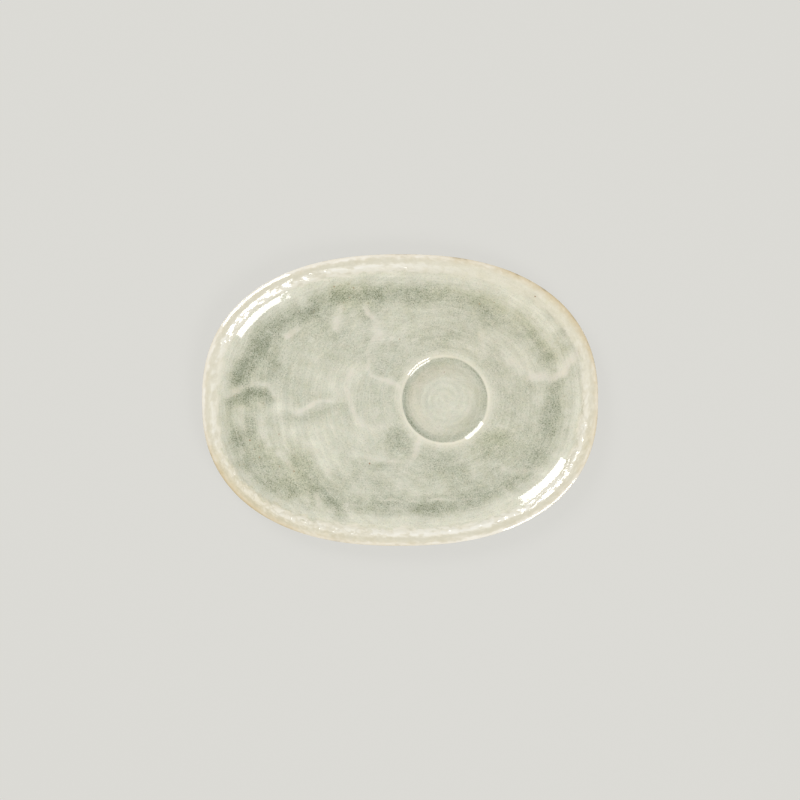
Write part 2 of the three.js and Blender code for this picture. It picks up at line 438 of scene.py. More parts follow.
class SaucerColours(bpy.types.PropertyGroup):
    """Colours of the clay and of the glazes."""

    cream: colour("Cream", "Glaze where it is thin", 238, 234, 217)
    pale: colour("Pale celadon", "Glaze over most of the floor", 215, 212, 196)
    celadon: colour("Celadon", "Glaze that starts to pool", 193, 192, 174)
    pool: colour("Pool", "Glaze in the deepest pools", 145, 149, 129)
    deep: colour("Deep", "Dark dots in the deepest pools", 116, 120, 99)
    vein: colour("Vein", "Glaze over a ridge in the clay", 224, 216, 204)
    roll: colour("Roll", "Roll of thin glaze under the crown", 240, 235, 218)
    # Partly painted highlight: thin cream glaze of the roll, brightened as painted glints of light on its
    # lumps.
    streak_glint: colour("Streak", "Brightest streaks of the roll", 245, 242, 229)
    # Painted highlight, partly thin glaze: a bright line along the roll's crest, where its lumps would catch
    # the light.
    crest: colour("Crest", "Thin bright line along the roll's crest", 250, 247, 236)
    # Partly painted shade: a darker beige for the line between the crown and the roll and for the roll's
    # valleys and crevices, where the glaze is thicker and where shade would fall.
    groove_shade: colour("Groove", "Line between the crown and the roll", 218, 213, 193)
    rim: colour("Rim", "Thin glaze on the rim's crown", 229, 223, 205)
    # Partly painted light: the thin glaze on the edge, made paler still to make up for the shade on the
    # edge's steep face.
    edge: colour("Edge", "Glaze on the rim's outer edge", 254, 250, 240)
    lip: colour("Lip", "Thin glaze on the cup well's lip", 243, 236, 219)
    arc: colour("Arc", "Pale bluish lines left by the wheel", 218, 220, 209)
    warm_tint: colour("Warm tint", "Tint of the glaze where it is yellower", 255, 254, 241)
    green_tint: colour("Green tint", "Tint of the glaze where it is greener", 250, 255, 253)
    pink_tint: colour("Pink tint", "Tint of the glaze where it is pinker", 255, 251, 248)
    # Painted shadow: darkens the glaze in a band just inside the roll's ragged inner edge.
    shade: colour("Shade", "Tint of the glaze just inside the roll", 243, 240, 229)
    worn_tint: colour("Worn tint", "Tint of the rim where the clay shows through", 241, 230, 204)
    burnt: colour("Burnt", "Brown spots along the bare edge", 162, 147, 119)
    tan: colour("Tan", "Clay that shows through along the rim's edge", 221, 206, 173)
    speck: colour("Speck", "Iron specks in the glaze", 150, 112, 74)
    outside: colour("Outside", "Glaze under the rim and inside the foot", 224, 220, 203)
    clay: colour("Clay", "Bare clay of the foot ring", 203, 182, 148)


class SaucerStage(bpy.types.PropertyGroup):
    """Floor, camera and lamps."""

    floor: colour("Floor", "Pale studio floor", 220, 219, 214)
    floor_glow: FloatProperty(
        name="Floor glow",
        description="Share of the floor's look that is even",
        default=0.86,
        min=0.0,
        max=1.0,
    )
    camera_distance: length("Camera distance", "Height of the camera over the rim", 2000)
    frame_width: length("Frame width", "Width that the picture shows at the rim", 444.2)
    lamp_distance: length("Lamp distance", "Level distance of each softbox from the saucer", 1000)
    back_azimuth: angle("Back lamp", "Direction of the back softbox from the saucer", 132)
    front_azimuth: angle("Front lamp", "Direction of the front softbox from the saucer", -50)
    lamp_width: length("Lamp width", "Width of each softbox", 600)
    lamp_bottom: length("Lamp bottom", "Height of the bottom edge of each softbox", 800)
    lamp_top: length("Lamp top", "Height of the top edge of each softbox", 1950)
    lamp_glow: FloatProperty(name="Lamp glow", description="Brightness of each softbox's face", default=8.55)
    sky: FloatProperty(name="Sky", description="Strength of the even light", default=0.342, min=0.0)


# Section


def along(point, facing, distance):
    """The point at a distance from another, in the direction of a facing."""
    return np.array(point) + distance * np.array((math.cos(facing), math.sin(facing)))


def climb(radius, low_lean, high_lean):
    """How far an arc climbs between two leans."""
    return radius * (math.cos(low_lean) - math.cos(high_lean))


def places(sizes):
    """The section's centres and heights, as (out, up), worked out from the rim's edge in to the foot."""
    place = SimpleNamespace()
    place.crown_facing = UP - sizes.crown_lean
    place.wall_facing = UP + sizes.wall_lean
    place.toe_facing = UP + sizes.toe_lean
    place.floor_top = sizes.foot_height + sizes.floor_thickness
    toe_climb = climb(sizes.toe_radius, 0.0, sizes.toe_lean)
    cove_climb = climb(sizes.cove_radius, sizes.toe_lean, sizes.wall_lean)
    wall_climb = sizes.wall_length * math.sin(sizes.wall_lean)
    crown_climb = climb(sizes.crown_radius, 0.0, sizes.wall_lean)
    place.rim_top = place.floor_top + toe_climb + cove_climb + wall_climb + crown_climb
    edge_offset = sizes.crown_radius - sizes.edge_radius
    crown_inset = sizes.edge_radius + edge_offset * math.cos(place.crown_facing)
    place.crown = np.array((-crown_inset, place.rim_top - sizes.crown_radius))
    place.edge = along(place.crown, place.crown_facing, edge_offset)
    wall_top = along(place.crown, place.wall_facing, sizes.crown_radius)
    cove_top = along(wall_top, place.wall_facing + QUARTER_TURN, sizes.wall_length)
    place.cove = along(cove_top, place.wall_facing, sizes.cove_radius)
    place.toe = along(place.cove, place.toe_facing, sizes.toe_radius - sizes.cove_radius)
    place.foot_side = place.toe[0] - sizes.foot_setback - sizes.foot_fillet
    place.foot_inside = place.foot_side - sizes.foot_land - 2 * sizes.foot_edge_radius
    return place


def bend(centre, radius, start, stop, steps):
    """An arc of the section: rows of (out, up, facing) at a radius from its centre, with the facing going
    evenly from start to stop. A negative radius is hollow: its surface faces the centre."""
    facing = np.linspace(start, stop, steps + 1)
    return np.column_stack((centre[0] + radius * np.cos(facing), centre[1] + radius * np.sin(facing), facing))


def straight(before, after, steps):
    """A straight stretch between two rows of the section, without the rows themselves."""
    share = np.linspace(0.0, 1.0, steps + 1)[1:-1, None]
    return before + share * (after - before)


def raised(section, rise):
    """Moves each row of a section along its facing."""
    out, up, facing = section.T
    return np.column_stack((out + rise * np.cos(facing), up + rise * np.sin(facing), facing))


def rim_section(sizes, steps):
    """Upper side over the glaze, from the glaze line over the rim and down the cove to its toe."""
    place = places(sizes)
    edge = bend(place.edge, sizes.edge_radius, sizes.glaze_line, place.crown_facing, steps["edge"])
    crown = bend(place.crown, sizes.crown_radius, place.crown_facing, place.wall_facing, steps["crown"])
    cove = bend(place.cove, -sizes.cove_radius, place.wall_facing, place.toe_facing, steps["cove"])
    toe = bend(place.toe, -sizes.toe_radius, place.toe_facing, UP, steps["toe"])
    wall = straight(crown[-1], cove[0], steps["wall"])
    return np.vstack((edge, crown[1:], wall, cove, toe[1:]))


def face_section(sizes, steps):
    """Upper side of the coat's face: the rim's section, with a flatter shoulder and a tighter edge outside
    the crown's top, because the glaze ran thin over the edge."""
    place = places(sizes)
    section = rim_section(sizes, steps)
    lean = math.asin((-place.crown[0] - sizes.glaze_edge) / (sizes.shoulder_radius - sizes.glaze_edge))
    shoulder_centre = (place.crown[0], place.rim_top - sizes.shoulder_radius)
    edge_centre = along(shoulder_centre, UP - lean, sizes.shoulder_radius - sizes.glaze_edge)
    edge = bend(edge_centre, sizes.glaze_edge, OUT, UP - lean, steps["edge"])
    shoulder = bend(shoulder_centre, sizes.shoulder_radius, UP - lean, UP, steps["crown"])
    crown = bend(place.crown, sizes.crown_radius, UP, place.wall_facing, steps["crown"])
    inner = section[steps["edge"] + steps["crown"] + 1 :]
    return np.vstack((section[:1], edge, shoulder[1:], crown[1:], inner))


def well_section(sizes, steps):
    """Cup well over the glaze, from its lip down the fillet and over its floor, up to one step from its
    middle. Out is the distance from the well's middle."""
    place = places(sizes)
    run = sizes.well_radius - sizes.well_floor_radius
    lean = 2 * math.atan(sizes.well_depth / run)
    fillet_radius = run / math.sin(lean) - sizes.well_lip_radius
    well_floor = place.floor_top - sizes.well_depth
    lip_centre = (sizes.well_radius, place.floor_top - sizes.well_lip_radius)
    fillet_centre = (sizes.well_floor_radius, well_floor + fillet_radius)
    lip = bend(lip_centre, sizes.well_lip_radius, UP, UP + lean, steps["well"])
    fillet = bend(fillet_centre, -fillet_radius, UP + lean, UP, steps["well"])
    middle = np.array((0.0, well_floor, UP))
    floor = straight(fillet[-1], middle, steps["middle"])
    return np.vstack((lip, fillet[1:], floor))


def outside_section(sizes, steps):
    """Outside of the clay, from the bare foot out to the glaze line. The belly runs parallel to the cove,
    and a straight flank touches both the belly and the round of the rim's edge."""
    place = places(sizes)
    thickness = sizes.upper_coat + sizes.wall_thickness
    edge_radius = sizes.edge_radius - sizes.upper_coat
    belly_radius = sizes.cove_radius + thickness
    belly_bottom = place.floor_top - thickness
    between = place.cove - place.edge
    flank_turn = math.acos((edge_radius - belly_radius) / np.hypot(*between))
    flank_facing = math.atan2(between[1], between[0]) + flank_turn - 2 * math.pi
    line_facing = sizes.glaze_line - sizes.bond / edge_radius
    fillet_centre = (place.foot_side + sizes.foot_fillet, belly_bottom - sizes.foot_fillet)
    start = np.array(((place.foot_side, sizes.bare_foot, OUT),))
    fillet = bend(fillet_centre, -sizes.foot_fillet, OUT, DOWN, FOOT_STEPS)
    toe = bend(place.toe, sizes.toe_radius + thickness, DOWN, DOWN + sizes.toe_lean, steps["toe"])
    belly = bend(place.cove, belly_radius, DOWN + sizes.toe_lean, flank_facing, steps["cove"])
    edge = bend(place.edge, edge_radius, flank_facing, line_facing, steps["edge"])
    flank = straight(belly[-1], edge[0], steps["wall"])
    return np.vstack((start, fillet, toe, belly[1:], flank, edge))


def foot_section(sizes):
    """Bare bottom of the foot ring, from its inner side out to its outer side."""
    place = places(sizes)
    radius = sizes.foot_edge_radius
    inner = bend((place.foot_inside + radius, radius), radius, IN, DOWN, FOOT_STEPS)
    outer = bend((place.foot_side - radius, radius), radius, DOWN, OUT, FOOT_STEPS)
    return np.vstack((inner, outer))


def base_section(sizes):
    """Underside of the clay inside the foot ring, from the edge of its flat middle out to the bare foot."""
    place = places(sizes)
    radius = sizes.foot_fillet
    fillet = bend((place.foot_inside - radius, sizes.foot_height - radius), -radius, DOWN, IN, FOOT_STEPS)
    end = np.array(((place.foot_inside, sizes.bare_foot, IN),))
    return np.vstack((fillet, end))


# Surfaces


def oval_points(turn, half, power):
    """Points where rays from the middle meet the outline, which is the curve where x over half the length
    and y over half the width, both without sign and raised to a power, add up to 1."""
    ray = np.column_stack((np.cos(turn), np.sin(turn)))
    reach = (np.abs(ray / half) ** power).sum(axis=1) ** (-1 / power)
    return ray * reach[:, None]


def oval(sizes, sectors):
    """Points of the outline at even distances along it, and its outward normals, which are the slope of the
    outline's formula."""
    half, power = (sizes.length / 2, sizes.width / 2), sizes.oval_power
    turn = np.linspace(0.0, 2 * math.pi, OUTLINE_SAMPLES + 1)
    steps = np.hypot(*np.diff(oval_points(turn, half, power), axis=0).T)
    travelled = np.concatenate(((0.0,), np.cumsum(steps)))
    even = np.linspace(0.0, travelled[-1], sectors, endpoint=False)
    points = oval_points(np.interp(even, travelled, turn), half, power)
    slope = np.sign(points) * np.abs(points / half) ** (power - 1) / half
    return points, slope / np.hypot(*slope.T)[:, None]


def circle(sizes, sectors):
    """The cup well's middle, once for each sector, and the directions out from it."""
    turn = np.linspace(0.0, 2 * math.pi, sectors, endpoint=False)
    middle = np.tile((sizes.well_offset, 0.0), (sectors, 1))
    return middle, np.column_stack((np.cos(turn), np.sin(turn)))


def carried(section, ring):
    """Points and normals of a section carried round a ring, as arrays of rows by sectors by xyz. Each
    point lies out along the ring's normal, and its own normal leans between that normal and +Z."""
    points, normals = ring
    out, up, facing = section.T[:, :, None, None]
    flat = points + out * normals
    place = np.concatenate((flat, np.broadcast_to(up, flat.shape[:2] + (1,))), axis=2)
    lean = np.cos(facing) * normals
    rise = np.broadcast_to(np.sin(facing), lean.shape[:2] + (1,))
    return place, np.concatenate((lean, rise), axis=2)


def upper_surface(sizes, steps, rise, section):
    """Rows of the upper side from the glaze line to one step from the well's middle, raised along its
    normals. The section leads over the rim. On the floor, each sector runs straight from the oval toe to
    the round lip of the well. Inset is the distance in from the rim, which the floor's rows count on."""
    rim, rim_normals = carried(raised(section, rise), oval(sizes, FINE_SECTORS))
    well, well_normals = carried(raised(well_section(sizes, steps), rise), circle(sizes, FINE_SECTORS))
    share = np.linspace(0.0, 1.0, steps["floor"] + 1)[1:-1, None, None]
    floor = rim[-1] + share * (well[0] - rim[-1])
    floor_normals = np.broadcast_to((0.0, 0.0, 1.0), floor.shape)
    inner = np.concatenate((floor, well))
    rim_inset = np.broadcast_to(-section[:, :1], rim.shape[:2])
    inner_inset = rim_inset[-1] + np.linalg.norm(inner - rim[-1], axis=2)
    surface = SimpleNamespace()
    surface.points = np.concatenate((rim, inner))
    surface.normals = np.concatenate((rim_normals, floor_normals, well_normals))
    surface.inset = np.concatenate((rim_inset, inner_inset))
    return surface


def loft_faces(rows, sectors, closed):
    """Four corners of each face between neighbouring rows of points, wound so that rows that go out along
    the underside and back in over the top face outwards. A closed loft joins its last row to its first."""
    row = np.arange(rows if closed else rows - 1)[:, None]
    sector = np.arange(sectors)[None, :]
    after = (sector + 1) % sectors
    above = (row + 1) % rows
    low, high = row * sectors, above * sectors
    corners = (low + sector, low + after, high + after, high + sector)
    return np.stack(corners, axis=-1).reshape(-1, 4)


def fan_faces(first, sectors, pole, upwards):
    """Three corners of each face between a row, from its first point on, and a pole."""
    sector = first + np.arange(sectors)
    after = first + (np.arange(sectors) + 1) % sectors
    ends = (sector, after) if upwards else (after, sector)
    return np.column_stack((*ends, np.full(sectors, pole)))


def make_piece(name, rows, poles, material):
    """A mesh lofted through rows of points and closed by a pole at each end, or joined end to end where it
    has no poles. It rides on the saucer's one body and stands for the CAD node of its name."""
    count, sectors = rows.shape[:2]
    points = rows.reshape(-1, 3)
    faces = loft_faces(count, sectors, closed=not poles).tolist()
    if poles:
        start, end = len(points), len(points) + 1
        points = np.vstack((points, poles))
        faces += fan_faces(0, sectors, start, upwards=False).tolist()
        faces += fan_faces((count - 1) * sectors, sectors, end, upwards=True).tolist()
    mesh = bpy.data.meshes.new(name)
    mesh.from_pydata(points.tolist(), [], faces)
    mesh.polygons.foreach_set("use_smooth", np.ones(len(faces), dtype=bool))
    mesh.set_sharp_from_angle(angle=SHARP_ANGLE)
    mesh.materials.append(material)
    piece = bpy.data.objects.new(f"{name}_surface", mesh)
    bpy.context.scene.collection.objects.link(piece)
    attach(piece, BODY)
    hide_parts(name)
    return piece


def store(piece, name, values):
    """Keeps a number or a vector for each of the piece's face points as an attribute. The face is the last
    block of rows, followed by the two poles. The pole on the face gets the mean of the last row."""
    count = values.shape[0] * values.shape[1]
    padded = np.zeros((len(piece.data.vertices), *values.shape[2:]), dtype=np.float32)
    padded[-count - 2 : -2] = values.reshape(count, *values.shape[2:])
    padded[-1] = values[-1].mean(axis=0)
    if values.ndim == 3:
        piece.data.attributes.new(name, "FLOAT_VECTOR", "POINT").data.foreach_set("vector", padded.ravel())
    else:
        piece.data.attributes.new(name, "FLOAT", "POINT").data.foreach_set("value", padded)


# Glaze patterns, over x and y in millimetres


def lattice(column, row, seed):
    """A fixed number from 0 to 1 for each point of a lattice: the fraction of a large sine."""
    wave = np.sin(column * LATTICE_COLUMN + row * LATTICE_ROW + seed * LATTICE_SEED) * LATTICE_GAIN
    return wave - np.floor(wave)


def noise(across, up, seed, columns=4096):
    """Smooth noise from 0 to 1: lattice numbers one apart, eased from each to the next. The lattice comes
    round to its start after a number of columns."""
    column, row = np.floor(across), np.floor(up)
    share_x, share_y = across - column, up - row
    ease_x = share_x * share_x * (3 - 2 * share_x)
    ease_y = share_y * share_y * (3 - 2 * share_y)
    left, right = np.mod(column, columns), np.mod(column + 1, columns)
    low = lattice(left, row, seed) * (1 - ease_x) + lattice(right, row, seed) * ease_x
    high = lattice(left, row + 1, seed) * (1 - ease_x) + lattice(right, row + 1, seed) * ease_x
    return low * (1 - ease_y) + high * ease_y


def cloud(x, y, size, seed):
    """Noise of three sizes, each half of the last and half as strong, from -1 to 1."""
    coarse = noise(x / size, y / size, seed)
    middle = noise((x + y * 0.3) / size * 2, (y - x * 0.3) / size * 2, seed + 1)
    fine = noise((x - y * 0.4) / size * 4, (y + x * 0.4) / size * 4, seed + 2)
    return (coarse * 4 + middle * 2 + fine) / 3.5 - 1


def rim_cloud(turn, inset, columns, height, seed):
    """Noise of two sizes in the band along the rim, from -1 to 1. Turn is the share of the way round, and
    height the size of the coarse noise across the band."""
    coarse = noise(turn * columns, inset / height, seed, columns)
    fine = noise(turn * columns * 2, inset / height * 2, seed + 1, columns * 2)
    return (coarse * 2 + fine) * 2 / 3 - 1


def bell(distance, width):
    """1 in the middle, falling smoothly to 0 over a few widths."""
    return np.exp(-((distance / width) ** 2) / 2)


def smooth_step(low, high, value):
    """0 below low and 1 above high, with a smooth rise between."""
    share = np.clip((value - low) / (high - low), 0.0, 1.0)
    return share * share * (3 - 2 * share)


def between(start, full, fading, end, value):
    """0 outside start and end, and 1 from full to fading, with a smooth rise and fall."""
    return smooth_step(start, full, value) * (1 - smooth_step(fading, end, value))


def turned(heading, degrees):
    """Angle from a direction given in degrees to a heading, from half a turn one way to half the other."""
    return np.mod(heading - math.radians(degrees) + math.pi, 2 * math.pi) - math.pi


def lobes(heading, stretches):
    """Sum of bells round a middle, one for each stretch's direction, half-width and strength."""
    return sum(strength * bell(turned(heading, degrees), width) for degrees, width, strength in stretches)


def spots(x, y, middles):
    """Sum of round bells, one for each spot's middle, half-width and strength."""
    total = np.zeros(x.shape)
    for middle_x, middle_y, width, strength in middles:
        total += strength * bell(np.hypot(x - middle_x, y - middle_y), width)
    return total


def line_distance(x, y, points):
    """Distance from the nearest of the straight lines that join the points."""
    nearest = np.full(x.shape, np.inf)
    for (x0, y0), (x1, y1) in zip(points, points[1:]):
        across, up = x1 - x0, y1 - y0
        share = np.clip(((x - x0) * across + (y - y0) * up) / (across**2 + up**2), 0.0, 1.0)
        nearest = np.minimum(nearest, np.hypot(x - x0 - share * across, y - y0 - share * up))
    return nearest


def pool_depth(x, y):
    """Sum of the pools, each longer along its turn than across it, with a flat middle and steep edges."""
    total = np.zeros(x.shape)
    for middle_x, middle_y, half_length, half_width, turn, depth in POOLS:
        cosine, sine = math.cos(math.radians(turn)), math.sin(math.radians(turn))
        along_pool = (x - middle_x) * cosine + (y - middle_y) * sine
        across_pool = (y - middle_y) * cosine - (x - middle_x) * sine
        reach = np.hypot(along_pool / half_length, across_pool / half_width)
        total += depth * np.exp(-(reach**POOL_POWER) / 2)
    return total * POOL_DEEPENING


def vein_strength(x, y):
    """Strongest of the veins at each point, each a bell across its line."""
    strongest = np.zeros(x.shape)
    for width, strength, points in VEINS:
        strongest = np.maximum(strongest, strength * bell(line_distance(x, y, points), width))
    return strongest


def located(sizes, surface):
    """Where the points of the upper side lie, in millimetres and radians.

    Inset is the distance in from the rim, and turn the share of the way round. Twist is turn with the slant
    of the roll's strands. Heading is seen from the oval's middle, and radius and well heading from the
    well's. Bare end, crisp, ragged and lumps are uneven runs along the rim that several patterns share."""
    at = SimpleNamespace()
    at.x, at.y = surface.points[..., 0] / MM, surface.points[..., 1] / MM
    at.inset = surface.inset / MM
    at.turn = np.linspace(0.0, 1.0, at.x.shape[1], endpoint=False)[None, :]
    at.twist = at.turn + BELT_SLANT * at.inset / BELT_RADIUS / (2 * math.pi)
    at.heading = np.arctan2(at.y, at.x)
    well_x = at.x - sizes.well_offset / MM
    at.radius = np.hypot(well_x, at.y)
    at.well_heading = np.arctan2(at.y, well_x)
    at.bare_end = lobes(at.heading, BARE_ENDS)
    at.crisp = 1 - lobes(at.heading, SOFT_STRETCHES)
    at.ragged = rim_cloud(at.turn, at.inset, 84, 5.0, 52)
    at.lumps = rim_cloud(at.twist, at.inset, 150, 2.4, 56)
    return at


def well_depth(at):
    """Depth of the glaze in the cup well: deeper towards its wall, deepest in a crisp line under the lip on
    the lower left, which is partly deeper glaze and partly painted shade under the lip, and darker or
    lighter by stretches round the edge of its floor."""
    depth = np.interp(at.radius, WELL_RADII, WELL_DEPTHS)
    # Darker on the upper left and right of the floor's edge, lighter on the lower left.
    depth += between(12.0, 17.0, 20.5, 22.5, at.radius) * lobes(at.well_heading, WELL_STRETCHES)
    # Partly painted shade: a crisp dark line under the lip on the lower left.
    depth += 0.42 * smooth_step(20.3, 23.0, at.radius) * bell(turned(at.well_heading, 212), 0.62)
    depth += 0.24 * bell(at.radius - 23.1, 0.5) * bell(turned(at.well_heading, 35), 0.5)
    across, up = at.radius * np.cos(at.well_heading), at.radius * np.sin(at.well_heading)
    return depth + 0.04 * cloud(across, up, 9.0, 64)


def coat_depth(at):
    """Depth of the glaze, and the strength of its veins.

    Depth follows the distance in from a ragged shore along the rim, with the pools and a cloud added, and
    is less over the veins. The well has its own. Pools and veins wander by a few millimetres, because the
    clay was worked by hand."""
    sway_x = at.x + 1.2 * cloud(at.x, at.y, 12.0, 1) + 0.8 * cloud(at.x, at.y, 5.0, 4)
    sway_y = at.y + 1.2 * cloud(at.x, at.y, 12.0, 7) + 0.8 * cloud(at.x, at.y, 5.0, 10)
    fading = np.clip(0.95 + 0.7 * cloud(at.x, at.y, 7.0, 40), 0.4, 1.25)
    veins = vein_strength(sway_x, sway_y) * fading
    shift = 6.0 * at.bare_end * between(4.0, 9.0, 13.0, 20.0, at.inset)
    shift -= 3.0 * bell(turned(at.heading, 34), 0.25) * smooth_step(9.0, 15.0, at.inset)
    shore = at.inset - 0.8 * np.cos(at.heading) + shift + 2.2 * cloud(at.x, at.y, 8.0, 13)
    patchy = 1 - 0.35 * smooth_step(28.0, 36.0, at.inset)
    mottle = 0.10 * cloud(at.x, at.y, 16.0, 16) + 0.18 * cloud(at.x, at.y, 6.0, 19) * patchy
    depth = np.interp(shore, BAND_INSETS, BAND_DEPTHS) + pool_depth(sway_x, sway_y)
    depth += mottle * smooth_step(8.0, 18.0, at.inset) - VEIN_THINNING * veins
    inside = 1 - smooth_step(23.5, 24.0, at.radius)
    return depth * (1 - inside) + well_depth(at) * inside, veins


def rim_pattern(at):
    """Attributes along the rim. Tan is where clay shows through. Place is the distance in from the rim, less
    how far the roll drops and less a painted reflection that pushes the pale edge band further in at the
    ends of the upper left highlight line, and picks the band of colour. Roll is the distance out from the
    roll's ragged inner edge, and lump how bright the roll is, which sets its partly painted glints."""
    tan = lobes(at.heading, CLAY_STRETCHES) + 0.25 * rim_cloud(at.turn, at.inset, 40, 4.0, 58)
    drop = (ROLL_DROP + lobes(at.heading, DROP_STRETCHES)) * smooth_step(1.5, 5.0, at.inset)
    # Painted reflection: at these headings the pale edge band reaches further in, as the glow of a softbox's
    # reflection beyond the ends of the highlight line.
    thin = lobes(at.heading, PAINTED_EDGE_REFLECTIONS) * (1 - smooth_step(2.0, 3.5, at.inset))
    ragged = 1.4 * at.ragged + 0.9 * rim_cloud(at.twist, at.inset, 170, 3.0, 54)
    ragged += at.bare_end * (1.6 * rim_cloud(at.turn, at.inset, 60, 4.0, 53) - 1.4)
    return {
        "tan": np.clip(tan, 0.0, 1.0),
        "place": at.inset - drop - thin,
        "roll": ROLL_END + ragged + drop - at.inset,
        "lump": at.lumps + lobes(at.heading, BRIGHT_STRETCHES),
        "crisp": at.crisp,
    }


def tint_pattern(at):
    """Attributes for where the glaze is yellower, where the wheel left bluish lines, and where it is pinker,
    which is round the well's floor and towards the upper right."""
    warm = 0.12 + 0.7 * bell(turned(at.heading, 38), 0.45) * bell(at.inset - 18.0, 5.0)
    warm = warm + spots(at.x, at.y, WARM_SPOTS) + 0.2 * cloud(at.x, at.y, 14.0, 61)
    ring = between(11.0, 16.0, 19.5, 21.5, at.radius)
    ring = ring * (0.35 + 0.65 * bell(turned(at.well_heading, 145), 1.0))
    upper_right = bell(turned(at.heading, 34.4), 0.5) * (at.radius > 28.0)
    return {
        "warm": np.clip(warm, 0.0, 1.0),
        "cool": bell(at.x + 30.0, 28.0) * bell(at.y, 24.0),
        "pink": ring + 0.4 * upper_right,
    }


def coat_relief(at, veins):
    """How far the coat rises along its normals, in millimetres: a ridge under the rim that steps down into a
    dip, lumps and broken strands on it, waves, veins, and the well's lip, raised on the upper left and
    slumped on the lower right. It falls where the rim faces the lamps, and never rises over the crown."""
    front = bell(turned(at.heading, FRONT_HEADING), LIT_WIDTH)
    back = bell(turned(at.heading, BACK_HEADING), LIT_WIDTH)
    step = (STEP_INSET - 0.95 * front + 0.7 * at.ragged - at.inset) / (1.3 + 0.7 * front)
    step = smooth_step(-1.0, 1.0, step)
    ridge = step * smooth_step(3.8, 6.5, at.inset)
    dip = (1 - step) * (1 - smooth_step(15.0, 25.0, at.inset))
    dip = dip * (1 + (0.15 + 0.2 * front) * smooth_step(12.5, 14.5, at.inset))
    lumps = at.lumps * at.crisp * between(4.0, 5.2, 7.4, 8.6, at.inset)
    broken = rim_cloud(at.turn, at.inset, 300, 1.5, 57) * between(5.4, 6.4, 7.4, 8.4, at.inset)
    waves = cloud(at.x, at.y, 15.0, 34) * between(3.0, 8.0, 16.0, 24.0, at.inset)
    brow = between(23.8, 24.5, 24.8, 30.0, at.radius) * bell(turned(at.well_heading, 135), 0.6)
    slump = between(23.6, 25.3, 25.5, 31.0, at.radius) * bell(turned(at.well_heading, -45), 0.45)
    relief = (RIDGE_RISE * ridge - DIP_FALL * dip) * (1 + 0.5 * front)
    relief += BROKEN_RISE * broken + LUMP_RISE * lumps + WAVE_RISE * waves + VEIN_RISE * veins
    relief -= FRONT_FALL * front * between(0.0, 2.5, 3.0, 7.0, at.inset)
    relief -= BACK_FALL * back * (1 - smooth_step(0.0, 3.0, at.inset))
    relief += LIP_RISE * (brow - slump) - UNEVENNESS * (1 + cloud(at.x, at.y, 20.0, 37))
    return np.where(at.inset < 4.2, np.minimum(relief, 0.0), relief)


def upper_pattern(sizes, surface):
    """Attributes of the upper glaze at each of its points, and its relief in metres.

    Gloss is 1 where the coat is smooth, and 0 on the satin floor. Belt wraps the rim round a drum, so that
    the material can stretch noise along it: its height is inset, and it twists with inset, so that the noise
    slants like the strands of a rope."""
    at = located(sizes, surface)
    depth, veins = coat_depth(at)
    gloss = np.maximum(1 - smooth_step(14.0, 22.0, at.inset), between(20.0, 21.0, 26.0, 28.0, at.radius))
    drum = 2 * math.pi * at.twist
    belt = np.stack((BELT_RADIUS * np.cos(drum), BELT_RADIUS * np.sin(drum), at.inset), axis=-1)
    attributes = {"depth": depth, "vein": veins, "inset": at.inset, "gloss": gloss, "belt": belt}
    attributes.update(rim_pattern(at))
    attributes.update(tint_pattern(at))
    return attributes, coat_relief(at, veins) * MM


# Materials


def add_node(tree, kind, inputs, **settings):
    """A shader node with its settings made, and each input linked or set."""
    made = tree.nodes.new(kind)
    for name, value in settings.items():
        setattr(made, name, value)
    for name, value in inputs.items():
        if isinstance(value, bpy.types.NodeSocket):
            tree.links.new(value, made.inputs[name])
        else:
            made.inputs[name].default_value = value
    return made


def add_math(tree, operation, first, second):
    """Output of a Math node over two numbers or sockets."""
    return add_node(tree, "ShaderNodeMath", {0: first, 1: second}, operation=operation).outputs[0]


def add_vector(tree, operation, first, second):
    """Output of a Vector Math node over two vectors, axis by axis."""
    return add_node(tree, "ShaderNodeVectorMath", {0: first, 1: second}, operation=operation).outputs[0]


def add_product(tree, first, *others):
    """Product of several sockets."""
    for other in others:
        first = add_math(tree, "MULTIPLY", first, other)
    return first


def add_sum(tree, *terms):
    """Sum of several sockets, each given with its weight."""
    total = 0.0
    for value, weight in terms:
        inputs = {0: value, 1: weight, 2: total}
        total = add_node(tree, "ShaderNodeMath", inputs, operation="MULTIPLY_ADD").outputs[0]
    return total


def opaque(value):
    """A colour property as a shader colour."""
    return (*value, 1.0)


def add_mix(tree, factor, first, second, blend="MIX"):
    """Colour output of a Mix node: the first colour at 0, blended with the second at 1. Each is a socket or
    a colour property."""
    inputs = {0: factor, 6: first, 7: second}
    for name in (6, 7):
        if not isinstance(inputs[name], bpy.types.NodeSocket):
            inputs[name] = opaque(inputs[name])
    return add_node(tree, "ShaderNodeMix", inputs, data_type="RGBA", blend_type=blend).outputs[2]


def add_tint(tree, factor, tone, tint):
    """A colour multiplied by a tint, as far as the factor says."""
    return add_mix(tree, factor, tone, tint, "MULTIPLY")


def add_range(tree, value, low, high, to_low, to_high):
    """Output of a Map Range node that eases a value from one range into another."""
    inputs = {0: value, 1: low, 2: high, 3: to_low, 4: to_high}
    return add_node(tree, "ShaderNodeMapRange", inputs, interpolation_type="SMOOTHSTEP").outputs[0]


def add_between(tree, value, start, full, fading, end):
    """0 outside start and end, and 1 from full to fading, with a smooth rise and fall."""
    rise = add_range(tree, value, start, full, 0.0, 1.0)
    return add_product(tree, rise, add_range(tree, value, fading, end, 1.0, 0.0))


